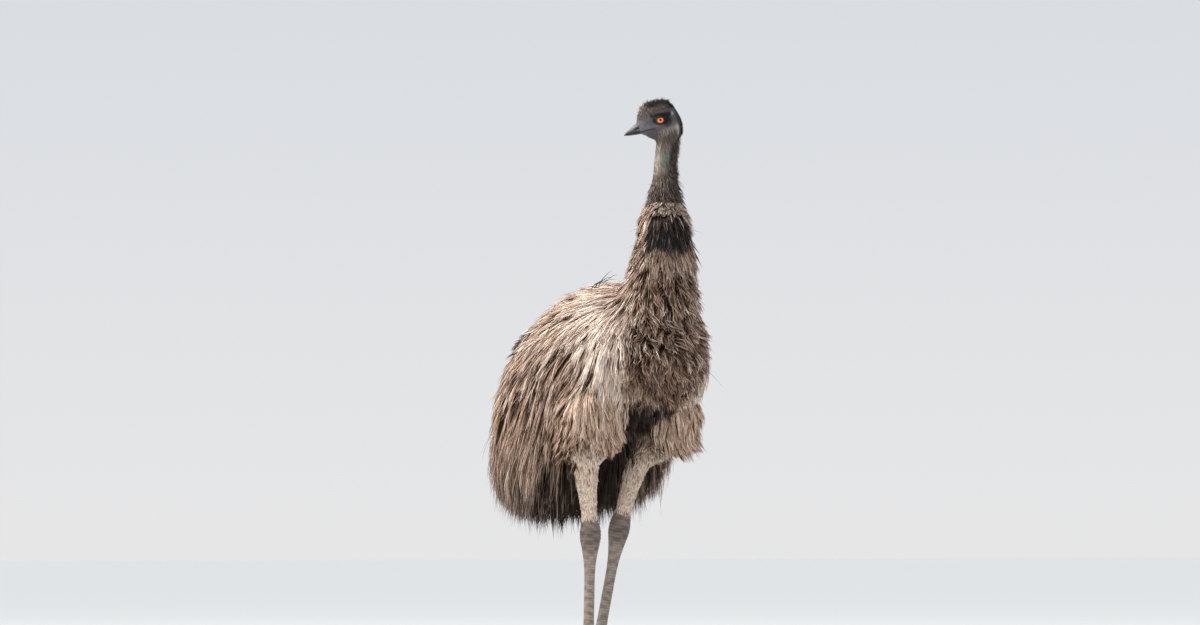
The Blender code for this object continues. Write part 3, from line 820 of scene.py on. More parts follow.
def head_colour(P):
    """The skin of the head and the bare upper neck."""
    f, l, u = axes(in_head(P))
    l = np.abs(l)
    z = P[..., 2]
    spread = waves(P, 0.012, 5) * 0.5
    # the lores and the strip below the eye are paler and greyer
    strip = bell(u, -15, 7) * ramp(f, -12, 12)
    colour = mix(SLATE, BILL_BASE, 0.85 * strip)
    colour = mix(colour, BILL_BASE, ramp(f, 44, 60) * fall(u, 8, 16))
    # a black mask fills the hollow round the eye and runs back above it
    round_eye = np.hypot((f + 4) / 26, (u - 1) / 16.5)
    colour = mix(colour, MASK, 0.95 * fall(round_eye + 0.15 * spread, 0.85, 1.20))
    # a black brow lies over it, from before the eye to well behind
    brow = bell(u - 15.5 - 0.06 * (f + 5), 0, 6.2) * ramp(f, -42, -30) * ramp(f, 34, 20)
    colour = mix(colour, MASK, 0.97 * np.clip(brow * 1.6, 0, 1))
    back_mask = fall(np.hypot((f + 22) / 15, (u + 6) / 22) + 0.2 * spread, 0.70, 1.20)
    colour = mix(colour, MASK, 0.72 * back_mask)
    colour = mix(colour, MASK, 0.85 * ramp(u + 5 * spread, 38, 50) * ramp(-f, -40, 10))
    # forehead and crown skin show brown between the bristles
    forehead = ramp(u + 4 * spread, 22, 30) * ramp(f, -40, -12) * fall(u, 40, 48)
    colour = mix(colour, "#5c5049", forehead)
    # chin and throat
    under = ramp(-u + 3 * spread, 34, 52)
    under = under * (0.75 + 0.25 * ramp(waves(P, 0.006, 15), -0.3, 0.3))
    colour = mix(colour, "#4a403a", under)
    colour = mix(colour, NAPE, 0.85 * ramp(-f + 4 * spread, 44, 58))
    colour = mix(colour, NAPE, 0.85 * ramp(-f, 46, 54) * ramp(l, 20, 12))
    # the cheek under the gape is paler and olive, with fine folds that run down and back, painted
    # dark in their creases as shade
    cheek = bell(u + 42 + 0.25 * f, 0, 11) * ramp(-f, -24, 4) * ramp(f, -56, -44)
    colour = mix(colour, "#7f7d70", 0.75 * np.clip(cheek, 0, 1))
    folds = waves(P @ FOLD_AXES, 0.006, 16)
    crease = ramp(folds, -0.15, 0.35) * ramp(-u, 26, 40)
    colour = mix(colour, "#3a2f2a", 0.75 * crease)
    # painted shade: the crease of the gape is darkened
    gape = bell(u, GAPE_HEIGHT, 2.2) * ramp(f, 14, 26)
    colour = mix(colour, SOOT, 0.75 * gape)
    # bare neck: pale before, blue-green at the sides, dark behind
    neck = fall(z + 0.010 * spread, 1.582, 1.612)
    ahead = facing(P, HEAD_LEVEL[:2])
    bare = mix(NAPE, "#756e65", ramp(ahead + 0.12 * spread, -0.55, -0.05))
    bare = mix(bare, "#a1988b", 0.6 * ramp(ahead + 0.2 * spread, 0.35, 0.85))
    patch = bell(ahead, -0.05, 0.42) * bell(z, 1.548, 0.030)
    mottle = ramp(waves(P, 0.009, 11) + 0.6 * waves(P, 0.004, 12), -0.35, 0.35)
    bare = mix(bare, TEAL, np.clip(patch * 1.25, 0, 1) * (0.20 + 0.75 * mottle))
    # brown streaks run down the neck, closer together low and behind: partly thin down, and partly
    # painted shade in its creases
    coarse, fine = waves(P * STREAK_AXES[0], 0.007, 13), waves(P * STREAK_AXES[1], 0.0035, 14)
    streak = ramp(coarse + 0.7 * fine, -0.1, 0.4)
    crowd = 0.42 + 0.35 * ramp(-ahead, -0.4, 0.4) + 0.35 * fall(z, 1.505, 1.545)
    bare = mix(bare, "#463a33", streak * np.clip(crowd, 0, 0.9))
    bare = mix(bare, "#463a33", fall(z + 0.008 * spread, 1.485, 1.52) * 0.85)
    # painted shade: folds on the front of the bare neck are darkened in their creases
    fold = ramp(folds, -0.2, 0.3) * ramp(z, 1.550, 1.590) * ramp(ahead, -0.3, 0.2)
    bare = mix(bare, "#43362f", 0.85 * fold)
    colour = mix(colour, bare, neck)
    # a pale bare spot behind the brow, and a pale stripe running down behind the cheek
    for at_f, at_u, size_f, size_u, share in (
        (-42, 13, 3.2, 5.0, 0.80),
        (-49, -36, 4.2, 12, 0.9),
        (-49, -56, 4.0, 11, 0.85),
        (-40, -84, 3.6, 16, 0.85),
    ):
        spot = np.exp(-(((f - at_f) / size_f) ** 2) - ((u - at_u) / size_u) ** 2)
        spot = share * np.clip(spot * (1.2 + 0.6 * spread), 0, 1) * ramp(l, 13, 22)
        colour = mix(colour, "#a0978b", spot)
    return colour


def painted_shade_under_coat(P):
    """Painted shade: the skin under the coat is dark, so that gaps between locks read as depth."""
    # the painted shade deepens to near black low on the body, towards the belly
    low = fall(P[..., 2], 0.62, 0.80)
    return mix("#382b23", SOOT, low * 0.8)


def skin_colour(P):
    """The whole skin: painted dark as shade under the coat, and the head's colours above the neck's
    plumage.
    """
    return mix(painted_shade_under_coat(P), head_colour(P), ramp(P[..., 2], 1.47, 1.51))


# %% The skin
points, quads, tris = tube(skin_rings)
corner_map = tube_map(*skin_rings.shape[:2])
skin = build_mesh("skin", points, quads, tris, BARE_SKIN, skin_colour(points), corner_map)
finish_piece(skin, "skin", "trunk", "tail", "neck_lower", "neck_upper", "head")

# %% [markdown]
# ## Eyes
# An emu's eye is a ball 36 mm across, most of it hidden. Where it shows, a ring of orange iris sits
# round a small black pupil, under a cornea that bulges a little. Each eye is a grid of circles
# round the axis that looks out of the head, and each circle's angle from that axis sets its colour.

# %% Eyeballs
CORNEA_BULGE = 0.9  # mm, at its middle


def eye_colour(angle_mm, turn):
    """Pupil, iris with fine radial streaks, dark rim and dark skin, by distance from the middle."""
    streak = 0.5 + 0.5 * np.sin(turn * 23 + 2 * np.sin(turn * 7))
    iris = mix("#f27a1e", "#c9440c", 0.3 + 0.4 * streak)
    iris = mix(iris, "#f6a04a", bell(angle_mm, 6.0, 1.6) * 0.4)
    iris = mix(iris, "#54200c", ramp(angle_mm, 9.0, 10.8))
    colour = mix("#060505", iris, ramp(angle_mm, 3.3, 3.9))
    return mix(colour, "#0b0a0b", ramp(angle_mm, 10.9, 11.6))


def build_eye(side, sign):
    """A ball whose circle at angle a from the axis has radius 18 sin a, with a bulge at a = 0."""
    angle = np.concatenate([np.linspace(0.6, 50, 56), np.linspace(52, 178, 24)])
    a, t = net(np.radians(angle), 64)
    radius = EYE_RADIUS + CORNEA_BULGE * bell(np.degrees(a), 0, 24)
    off = radius * np.sin(a)
    rings = from_head(off * np.cos(t), sign * (EYE_OUT + radius * np.cos(a)), off * np.sin(t))
    across = np.degrees(a) * math.pi / 180 * EYE_RADIUS
    tube_piece(f"eyeball_{side}", rings, eye_colour(across, t), EYE_WET, "eye", f"eye_{side}")


for side in SIDES:
    build_eye(side, SIDES[side])

# %% [markdown]
# ## Eyelids
# The lids are a soft fold round the opening. Their inner edge lies on the ball, and their outer
# edge melts into the face. Each is a closed ring: out along the top of the fold, and back under it.
# The height of the face beside the eye is found by casting rays at the skin's own field.

# %% Lids
LID_OPENING = (12.2, 9.6)  # half-length and half-height of the opening, mm
LID_OUTER = (18.5, 16.0)
LID_UNDER = -1.6  # mm, of the fold's hidden underside to the ball and the face


def face_height(forward, up, sign):
    """Distance of the face from the head's middle plane, by halving between 5 and 60 mm."""
    near, far = np.full(forward.shape, 5.0), np.full(forward.shape, 60.0)
    for _ in range(16):
        half = (near + far) / 2
        out = flesh_field(from_head(forward, sign * half, up)) > 0
        far, near = np.where(out, half, far), np.where(out, near, half)
    return far


def build_lids(side, sign):
    """Rings from the opening (share 0) to the face (share 1), then back beneath."""
    share = np.concatenate([np.linspace(0, 1, 16), np.linspace(0.9, 0.06, 6)])
    under = np.concatenate([np.zeros(16), np.ones(6)])
    s, t = net(share, 96)
    below = np.broadcast_to(under[:, None], s.shape)
    # the opening is an almond: a little pointed at its two corners, and above it is flatter and
    # slopes down to the bill
    c, up = np.cos(t), np.sin(t)
    pinch = 1 + 0.05 * np.cos(2 * t) - 0.24 * ramp(up, 0.1, 0.9) - 0.08 * c * ramp(up, 0.0, 0.6)
    pinch = 1 + (pinch - 1) * (1 - s)
    f = c * (LID_OPENING[0] + (LID_OUTER[0] - LID_OPENING[0]) * s) * pinch
    u = up * (LID_OPENING[1] + (LID_OUTER[1] - LID_OPENING[1]) * s) * pinch
    ball = EYE_OUT + np.sqrt(np.maximum(EYE_RADIUS**2 - f**2 - u**2, 0))
    ball = ball + CORNEA_BULGE * bell(np.hypot(f, u), 0, 7.5)
    face = face_height(f, u, sign)
    over = mix(ball[..., None], face[..., None], ramp(s, 0.25, 0.95))[..., 0]
    fold = 1.6 * bell(s, 0.16, 0.16) + 0.9 * bell(s, 0.55, 0.16)
    crease = 0.5 * bell(s, 0.36, 0.06)
    lift = 0.3 + fold - crease - 1.3 * ramp(s, 0.75, 1.0)
    out = over + np.where(below > 0, LID_UNDER, lift)
    rings = from_head(f, sign * out, u)
    rows, columns = s.shape
    index = np.arange(rows * columns).reshape(rows, columns)
    down, right = np.roll(index, -1, axis=0), np.roll(index, -1, axis=1)
    quads = np.stack([index, right, np.roll(down, -1, axis=1), down], axis=-1).reshape(-1, 4)
    colour = mix("#0c0b0d", head_colour(rings), ramp(s, 0.3, 0.85))
    rim = bell(s, 0.12, 0.10) * fall(up, -0.5, 0.3)
    colour = mix(colour, "#8a8278", 0.25 * rim).reshape(-1, 3)
    i, j = np.meshgrid(np.arange(rows), np.arange(columns), indexing="ij")
    u0, u1 = ((j + k) / columns * 0.98 + 0.01 for k in (0, 1))
    v0, v1 = ((i + k) / rows * 0.98 + 0.01 for k in (0, 1))
    corner_map = corners_of((u0, v0), (u1, v0), (u1, v1), (u0, v1))
    lids = build_mesh(f"lids_{side}", rings, quads, (), BARE_SKIN, colour, corner_map)
    finish_piece(lids, "skin")


for side in SIDES:
    build_lids(side, SIDES[side])

# %% [markdown]
# ## Bill
# The bill is a broad, flattish wedge of horn in two halves, closed along the gape. The upper half
# has a raised ridge down its middle and a long nostril slot on each side. Each half is a profile of
# a half-oval carried forward, its size read from a table, with the root inside the face.

# %% Bill
BILL_ROOT, BILL_TIP = 53.0, 116.5
# share of the bill's length from root to tip, height above the gape, half-width, in mm
UPPER_BILL = (
    (0.00, 20.0, 17.6),
    (0.12, 26.0, 17.2),
    (0.25, 29.0, 16.2),
    (0.37, 26.0, 14.4),
    (0.52, 20.2, 12.0),
    (0.67, 14.8, 9.8),
    (0.85, 9.0, 7.0),
    (0.95, 5.2, 5.0),
    (1.00, 2.2, 1.6),
)
LOWER_BILL = (
    (0.00, 6.4, 16.4),
    (0.40, 5.8, 13.4),
    (0.68, 4.6, 9.6),
    (0.90, 2.8, 5.4),
    (1.00, 0.9, 0.9),
)
LOWER_SHORTFALL = 4.0
NOSTRIL_MIDDLE = 71.0


def nostril(f, u):
    """1 in the middle of the slot, falling to 0 at its rim. The slot leans forward and down."""
    along = (f - NOSTRIL_MIDDLE) / 9.5
    middle = -11.0 - 2.6 * along
    return np.exp(-(along**4) - ((u - middle) / 2.6) ** 2)


def flattened(turn):
    """The cosine with its size raised to 0.85, so that an oval's flanks stand steeper."""
    return np.sign(np.cos(turn)) * np.abs(np.cos(turn)) ** 0.85


def bill_upper():
    """Half-ovals above the gape with a flat floor; the ridge is a narrow bump at the top."""
    share = np.linspace(0, 1, 110) ** 0.92
    height, half = smooth_table(UPPER_BILL, share).T
    s, t = net(share, 72)
    up = np.sin(t)
    l = flattened(t) * half[:, None]
    rise = np.where(up > 0, np.abs(up) ** 1.05 * height[:, None], -0.9 * np.abs(up))
    ridge = bell(l, 0, 0.16 * half[:, None] + 0.6) * (up > 0)
    rise = rise + 1.1 * ridge * (1 - s)
    f = BILL_ROOT + (BILL_TIP - BILL_ROOT) * s
    u = GAPE_HEIGHT + 0.3 + rise
    u = u - 1.5 * ramp(s, 0.86, 1.0)
    slot = nostril(f, u) * ramp(np.abs(l), 4, 7)
    l = l - np.sign(l) * 4.2 * slot
    rim = np.exp(-(((f - NOSTRIL_MIDDLE) / 13) ** 4) - ((u + 6.6) / 1.8) ** 2)
    rim = rim * ramp(np.abs(l), 4, 7)
    l = l + np.sign(l) * 0.8 * rim
    # a shallow groove runs on from the slot towards the tip
    groove = bell(u - GAPE_HEIGHT, 0.42 * height[:, None], 1.5) * ramp(s, 0.35, 0.5)
    l = l * (1 - 0.05 * groove * fall(s, 0.8, 0.95))
    base = mix("#232328", "#53535b", 0.3 + 0.5 * ramp(up, 0.2, 0.9))
    root = fall(s + 0.06 * waves(from_head(f, l, u), 0.01, 3), 0.10, 0.34)
    base = mix(base, BILL_BASE, root)
    base = mix(base, "#80808a", 0.5 * ridge * ramp(s, 0.2, 0.4))
    base = mix(base, "#17171a", 0.75 * ramp(s, 0.75, 1.0))
    # painted shade: a dark line along the gape where the halves meet
    edge = bell(u, GAPE_HEIGHT, 1.8)
    base = mix(base, "#101013", 0.7 * edge)
    base = mix(base, "#0d0d10", 0.75 * fall(u - GAPE_HEIGHT, 3.0, 8.0) * ramp(s, 0.15, 0.35))
    # painted shade: the nostril slot is painted near black
    base = mix(base, "#040405", np.clip(slot * 1.6, 0, 1))
    return from_head(f, l, u), base


def bill_lower():
    """Shallow half-ovals under the gape, shorter than the upper half."""
    share = np.linspace(0, 1, 70)
    depth, half = smooth_table(LOWER_BILL, share).T
    s, t = net(share, 48)
    up = np.sin(t)
    l = flattened(t) * half[:, None] * 0.97
    drop = np.where(up < 0, np.abs(up) * depth[:, None], -0.3 * np.abs(up))
    f = BILL_ROOT + (BILL_TIP - LOWER_SHORTFALL - BILL_ROOT) * s
    u = GAPE_HEIGHT - 0.5 - drop
    base = mix("#1a1a1e", "#4c4c53", ramp(-up, 0.1, 0.8))
    base = mix(base, "#141417", 0.7 * ramp(s, 0.7, 1.0))
    return from_head(f, l, u), base


for name, (rings, colours) in (("upper", bill_upper()), ("lower", bill_lower())):
    tube_piece(f"bill_{name}_horn", rings, colours, BILL_HORN, "bill_horn", f"bill_{name}")

# %% [markdown]
# ## Legs and feet
# Below the thigh the leg is long and straight. The shank wears short pale feathers, and from the
# hock down it is bare: broad plates in a row down the front, small round scales behind. The whole
# leg is one tube of rings along its line. The plates are made by moving its points outwards, in a
# saw-tooth down the front, because a plate overlaps the next one like a roof tile.

# %% The leg's line
# share of each length, half-depth and half-width of the flesh
THIGH_FLESH = (
    (0, 0.080, 0.080),
    (0.35, 0.090, 0.088),
    (0.62, 0.086, 0.084),
    (0.85, 0.062, 0.060),
    (1, 0.041, 0.038),
)
SHANK_FLESH = (
    (0, 0.041, 0.038),
    (0.30, 0.0335, 0.0310),
    (0.62, 0.0258, 0.0240),
    (0.78, 0.0235, 0.0230),
    (0.90, 0.0285, 0.0285),
    (1, 0.0320, 0.0325),
)
SHIN_FLESH = (
    (0, 0.0325, 0.0330),
    (0.07, 0.0322, 0.0325),
    (0.15, 0.0262, 0.0266),
    (0.25, 0.0202, 0.0202),
    (0.60, 0.0163, 0.0161),
    (0.88, 0.0165, 0.0188),
    (1, 0.0198, 0.0232),
)
THIGH_POINTS, SHANK_POINTS, SHIN_POINTS = 130, 120, 190
KNEE = THIGH_POINTS - 1  # places on the joined line, whose parts share their end points
HOCK = KNEE + SHANK_POINTS - 1


def foot_ahead(side, turn_out=0):
    """The level way a foot points, or one of its toes, `turn_out` degrees away from the body."""
    return level_way(math.radians(LEG[side]["turn"] + SIDES[side] * turn_out))


def averaged(line, times):
    """A line whose inner points move to the mean of themselves and their neighbours, 2 : 1 : 1."""
    line = line.copy()
    for _ in range(times):
        line[1:-1] = (line[:-2] + 2 * line[1:-1] + line[2:]) / 4
    return line


def leg_line(side):
    """Points 2 mm apart from thigh to ankle, with their radii, and corners eased by averaging."""
    leg = LEG[side]
    thigh = smooth_table(thigh_knots(side), np.linspace(0, 1, THIGH_POINTS))
    lines, depths, widths = [], [], []
    for table, points in (
        (THIGH_FLESH, thigh),
        (SHANK_FLESH, np.linspace(leg["thigh"][-1], leg["hock"], SHANK_POINTS)),
        (SHIN_FLESH, np.linspace(leg["hock"], leg["ankle"], SHIN_POINTS)),
    ):
        depth, width = smooth_table(table, np.linspace(0, 1, len(points))).T
        keep = slice(None) if not lines else slice(1, None)
        lines.append(points[keep])
        depths.append(depth[keep])
        widths.append(width[keep])
    line = averaged(np.concatenate(lines), 60)
    eased = averaged(line, 700)
    knee = bell(np.arange(len(line)), KNEE, 50)[:, None]
    line = line * (1 - knee) + eased * knee
    return line, np.concatenate(depths), np.concatenate(widths)


BARE_ABOVE_HOCK = 0.040  # the knob of the hock is bare from this far above its middle
PLATE_PITCH, PLATE_HEIGHT, PEBBLE_PITCH = 0.0088, 0.0011, 0.0048  # pitches are along the leg
LEG_COLUMNS = 52


def saw(value):
    """0 at a plate's lower edge, rising, then a quick fall: a roof tile seen from the side."""
    part = value % 1.0
    return part**1.5 * fall(part, 0.90, 1.0)


def leg_surface(side):
    """Rings across the leg's line; plates on the shin's front, pebbles on the hock and behind."""
    line, depth, width = leg_line(side)
    tangent = unit(np.gradient(line, axis=0))
    front = foot_ahead(side)
    front = unit(front - tangent * (tangent @ front)[:, None])
    across = np.cross(tangent, front)
    turn = turns(LEG_COLUMNS)
    c, s = np.cos(turn)[None, :, None], np.sin(turn)[None, :, None]
    spoke = c * across[:, None] * width[:, None, None] + s * front[:, None] * depth[:, None, None]
    length = path_length(line)
    below = (length - length[HOCK])[:, None]
    facing_front = ramp(np.sin(turn)[None], 0.45, 0.75)
    facing_back = ramp(-np.sin(turn)[None], 0.45, 0.75)
    bare = ramp(below, -BARE_ABOVE_HOCK, 0.016 - BARE_ABOVE_HOCK)
    plates = saw(-below / PLATE_PITCH + 0.04 * np.sin(5 * turn)[None]) * PLATE_HEIGHT
    plates = plates * facing_front * ramp(below, 0.03, 0.05)
    ring_wrinkle = 0.0007 * np.sin(2 * math.pi * below / 0.0105) * fall(below, 0.035, 0.06)
    stagger = np.where((np.floor(below / PEBBLE_PITCH) % 2) > 0, 0.5, 0.0)
    pebble = np.abs(np.sin(math.pi * below / PEBBLE_PITCH))
    pebble = pebble * np.abs(np.sin((turn[None] * 9 + stagger * math.pi)))
    rear = saw(-below / 0.0068) * 0.0006 * facing_back * ramp(below, 0.05, 0.07)
    small = 0.0006 * pebble * (1 - facing_front) * (1 - facing_back * 0.6)
    swell = bare * (plates + ring_wrinkle * 0.8 + small + rear)
    spoke_length = np.linalg.norm(spoke, axis=-1, keepdims=True)
    rings = line[:, None] + spoke * (1 + swell[..., None] / spoke_length)
    groove = np.clip(1 - (swell / PLATE_HEIGHT), 0, 1)
    return rings, groove, below, line


def leg_colour(rings, groove, below):
    """Pale feathered shank above, painted dark as shade high up under the thigh's coat; slate-brown
    hock and dusty shin, with grooves painted dark as shade.
    """
    noise = waves(rings, 0.02, 21)
    upper = mix("#c0ab99", "#9a8674", ramp(noise, -0.3, 0.9))
    # painted shade: high on the leg, under the thigh's coat, the skin is dark
    upper = mix(upper, "#4d3d33", ramp(-below, 0.20, 0.26))
    hock = mix("#786c64", "#564c46", ramp(noise, -0.5, 0.7))
    shin = mix("#998d82", "#756a60", ramp(noise, -0.4, 0.8))
    colour = mix(hock, shin, ramp(below, 0.045, 0.085))
    # painted shade: the grooves between the plates are darkened
    colour = mix(colour, "#3f3732", 0.50 * groove * ramp(below, -0.03, 0.01))
    return mix(upper, colour, ramp(below + BARE_ABOVE_HOCK + 0.004 * noise, -0.008, 0.006))


# share along a toe: half-width and height as shares of the root's
TOE = (
    (0.00, 1.00, 1.00),
    (0.20, 0.92, 0.86),
    (0.32, 1.00, 0.84),
    (0.50, 0.86, 0.70),
    (0.62, 0.94, 0.70),
    (0.82, 0.76, 0.56),
    (1.00, 0.60, 0.47),
)
# degrees turned away from the body, length, half-width at the root
TOES = {"inner": (-27, 0.088, 0.0125), "middle": (0, 0.138, 0.0160), "outer": (27, 0.094, 0.0130)}
TOE_RISE, PAD_RADII, PAD_MIDDLE = 2.05, (0.0262, 0.0296, 0.0277), 0.0175
TOE_PLATE_HEIGHT = 0.0009
FLOOR_CLEARANCE = 0.0004  # soles stop just above the floor, so that the two never share a plane


def below_ankle(side):
    """The place on the floor under an ankle."""
    return np.array(LEG[side]["ankle"]) * (1, 1, 0)


def toe_frame(side, name):
    """A toe's root on the floor, its way, the way across it, its length and its half-width."""
    turn_out, length, half = TOES[name]
    direction = foot_ahead(side, turn_out)
    root = below_ankle(side) + foot_ahead(side) * 0.012
    return root, direction, np.cross(direction, SKYWARD), length, half


def pressed(rings):
    """Rings whose points below the floor are pushed up to just above it."""
    rings[..., 2] = np.maximum(rings[..., 2], FLOOR_CLEARANCE)
    return rings


def toe_surface(side, name):
    """Half-flat ovals along the toe, with cross plates on top and a sole pressed on the floor."""
    root, direction, across, length, half = toe_frame(side, name)
    share = np.linspace(0, 1.0, 86)
    wide, high = smooth_table(TOE, share).T
    s, t = net(share, 36)
    plate = saw(s * length / 0.0062) * TOE_PLATE_HEIGHT * ramp(np.sin(t), 0.1, 0.5)
    side_scale = 0.0004 * np.abs(np.sin(s * length * math.pi / 0.0036)) * np.abs(np.sin(t * 7))
    side_scale = side_scale * (np.abs(np.sin(t)) < 0.35)
    end = np.sqrt(np.clip(1 - ((s - 0.93) / 0.0705).clip(0, 1) ** 2, 0, 1))
    width = half * wide[:, None] * end
    height = half * TOE_RISE * high[:, None]
    rounded = np.where(end < 1, 0.6 + 0.4 * end, 1)
    lift = height * (0.36 * rounded + 0.64 * np.sin(t) * end) + plate * end
    rings = root + direction * (s * length)[..., None]
    rings = rings + across * (np.cos(t) * (width + side_scale))[..., None]
    rings = pressed(rings + SKYWARD * lift[..., None])
    groove = np.clip(1 - plate / TOE_PLATE_HEIGHT, 0, 1) * ramp(np.sin(t), 0.1, 0.5)
    colour = mix("#7d7167", "#5e544c", ramp(waves(rings, 0.018, 31), -0.4, 0.8))
    # painted shade: the grooves between the toe's plates are darkened
    colour = mix(colour, "#312a26", 0.55 * groove)
    # painted shade: the toe's underside, next to the floor, is darker
    colour = mix(colour, "#4a413a", ramp(-np.sin(t), 0.2, 0.7) * 0.7)
    return rings, colour


def pad_surface(side):
    """An egg lying along the foot, cut flat by the floor."""
    ahead = foot_ahead(side)
    across = np.cross(ahead, SKYWARD)
    centre = below_ankle(side)
    tip = np.linspace(0.03, math.pi - 0.03, 46)
    a, t = net(tip, 44)
    knobs = 1 + 0.018 * np.sin(a * 22) * np.sin(t * 15)
    rings = (
        centre
        - ahead * (np.cos(a) * PAD_RADII[1])[..., None]
        + across * (np.cos(t) * np.sin(a) * PAD_RADII[0] * knobs)[..., None]
        + SKYWARD * (PAD_MIDDLE + np.sin(t) * np.sin(a) * PAD_RADII[2] * knobs)[..., None]
    )
    rings = pressed(rings)
    colour = mix("#6f645b", "#50463f", ramp(waves(rings, 0.012, 33), -0.4, 0.8))
    return rings, colour


def joined(parts, patches):
    """Several closed tubes in one mesh, each with its own part of the map."""
    tubes, quad_maps, tri_maps = [], [], []
    start = 0
    for (rings, colours), (low, high) in zip(parts, patches):
        points, quads, tris = tube(rings)
        tubes.append((points, quads + start, tris + start, tube_colours(colours)))
        corners = tube_map(*rings.shape[:2], low, high)
        quad_maps.append(corners[: quads.size])
        tri_maps.append(corners[quads.size :])
        start += len(points)
    return [np.concatenate(part) for part in zip(*tubes)] + [np.concatenate(quad_maps + tri_maps)]


LEG_SKINS = {}
for side in SIDES:
    rings, groove, below, line = leg_surface(side)
    LEG_SKINS[side] = (rings, line, below)
    parts = [(rings, leg_colour(rings, groove, below)), pad_surface(side)]
    parts += [toe_surface(side, name) for name in TOES]
    patches = [((0.01, 0.01), (0.60, 0.99)), ((0.63, 0.70), (0.99, 0.99))]
    patches += [((0.63 + 0.12 * k, 0.01), (0.74 + 0.12 * k, 0.66)) for k in range(3)]
    points, quads, tris, colours, corner_map = joined(parts, patches)
    leg = build_mesh(f"leg_skin_{side}", points, quads, tris, LEG_SCALES, colours, corner_map)
    nodes = ["shank", "tarsus", "foot"] + [f"toe_{name}" for name in TOES]
    finish_piece(leg, "leg_scales", *(f"{node}_{side}" for node in nodes))

# %% Claws
def claw_surface(side, name):
    """A cone that bends down, blunt at the tip, with a ridge along its top."""
    root, direction, across, length, half = toe_frame(side, name)
    root = root + direction * (length * 0.965)
    share = np.linspace(0, 1, 30)
    s, t = net(share, 24)
    taper = np.sqrt(np.clip(1 - 0.985 * s**1.6, 0, 1))
    height = half * TOE_RISE * TOE[-1][2] * 0.92
    middle = height * (0.52 - 0.36 * s**1.5)
    reach = length * (0.22 + 0.035)
    rings = root + direction * (s * reach)[..., None]
    rings = rings + across * (np.cos(t) * half * TOE[-1][1] * 0.82 * taper)[..., None]
    rings = pressed(rings + SKYWARD * (middle + np.sin(t) * 0.40 * height * taper)[..., None])
    colour = mix("#2d2826", "#4b433d", ramp(waves(rings, 0.006, 41), -0.5, 0.9))
    return rings, mix(colour, "#6b6056", 0.5 * ramp(s, 0.0, 0.15) * fall(s, 0.15, 0.4))


for side in SIDES:
    for name in TOES:
        part = f"claw_{name}_{side}"
        tube_piece(f"{part}_horn", *claw_surface(side, name), CLAW_HORN, "claw_horn", part)

# %% [markdown]
# ## The coat: how a lock of feather is made
# An emu's feather is two thin shafts with loose barbs, so it hangs like a flat lock of hair. Each
# lock here is a thin, three-sided, tapered strand of solid mesh, closed at both ends. A strand
# follows a guide: a path that starts at the skin, rises to the coat's outline, and then lies along
# the body the way the feathers run. About ten strands share the nearest guide and draw together
# towards its tip, and guides draw together in turn, which gives the streaky, layered look of a
# real coat. Where the body faces down a strand hangs free, and is cut off at the outline.

# %% Where strands may root
def scatter(rings, weight, count, rng, first_row, last_row):
    """Random places on a closed grid, as dense as `weight` of the face's middle says.

    Returns the places, and for each its place on the map: shares round the ring and along the rows.
    """
    rows, columns = rings.shape[:2]
    a = rings[first_row:last_row]
    d = rings[first_row + 1 : last_row + 1]
    b, c = np.roll(a, -1, axis=1), np.roll(d, -1, axis=1)
    area = sum(np.linalg.norm(np.cross(b - e, d - e), axis=-1) for e in (a, c))
    chance = (area * weight((a + b + c + d) / 4)).ravel()
    pick = np.searchsorted(np.cumsum(chance), rng.uniform(0, chance.sum(), count))
    pick = np.minimum(pick, len(chance) - 1)
    i, j = np.unravel_index(pick, area.shape)
    s, t = rng.uniform(size=(2, count))
    S, T = s[:, None], t[:, None]
    place = (a[i, j] * (1 - S) + b[i, j] * S) * (1 - T) + (d[i, j] * (1 - S) + c[i, j] * S) * T
    return place, np.stack([(j + s) / columns, (i + first_row + t) / (rows - 1)], axis=-1)


# %% Guides
STEPS = 9


def hangs_free(P, out):
    """1 where the outline faces down, so that nothing carries the feathers."""
    return fall(out[:, 2], -0.55, -0.12)


def grow(roots, lengths, lie, outline, rng, rise, spare=0.004, free=hangs_free):
    """Guide paths, (guides, STEPS + 1, 3).

    Each step goes along lie(place, share) laid flat on the outline's surface. The distance under
    the outline shrinks from its value at the root by (1 - share) ** rise. Where a strand hangs free
    nothing turns it.
    """
    path = [roots]
    place = roots
    start = np.minimum(outline(roots), -0.001)
    spare = spare * rng.uniform(0, 2, len(roots))
    for step in range(STEPS):
        share = (step + 1) / STEPS
        out = slope(outline, place)
        hang = free(place, out)
        want = lie(place, share)
        flat = want - out * np.einsum("ij,ij->i", want, out)[:, None] * (1 - hang)[:, None]
        moved = place + unit(flat) * (lengths / STEPS)[:, None]
        push = (start * (1 - share) ** rise - spare - outline(moved)) * (1 - hang)
        limit = lengths / STEPS * 0.8
        place = moved + out * np.clip(push, -limit, limit)[:, None]
        path.append(place)
    return np.stack(path, axis=1)


def at_share(paths, which, share):
    """Places on the chosen guides at shares (strands, rings), by straight reading between steps."""
    at = np.clip(share, 0, 1) * STEPS
    low = np.minimum(at.astype(int), STEPS - 1)
    part = (at - low)[..., None]
    chosen = paths[which]
    index = np.arange(len(which))[:, None]
    return chosen[index, low] * (1 - part) + chosen[index, low + 1] * part


def inside_share(paths, outline, over):
    """For each guide, the share of its length at which it first stands `over` past the outline."""
    count, places = paths.shape[:2]
    past = outline(paths.reshape(-1, 3)).reshape(count, places) - np.reshape(over, (-1, 1))
    past[:, 0] = -1.0
    outside = past > 0
    first = np.where(outside.any(axis=1), outside.argmax(axis=1), places - 1)
    index = np.arange(count)
    before, after = past[index, first - 1], past[index, first]
    part = np.where(after > 0, -before / np.maximum(after - before, 1e-9), 1.0)
    return np.clip((first - 1 + part) / STEPS, 0.05, 1.0)


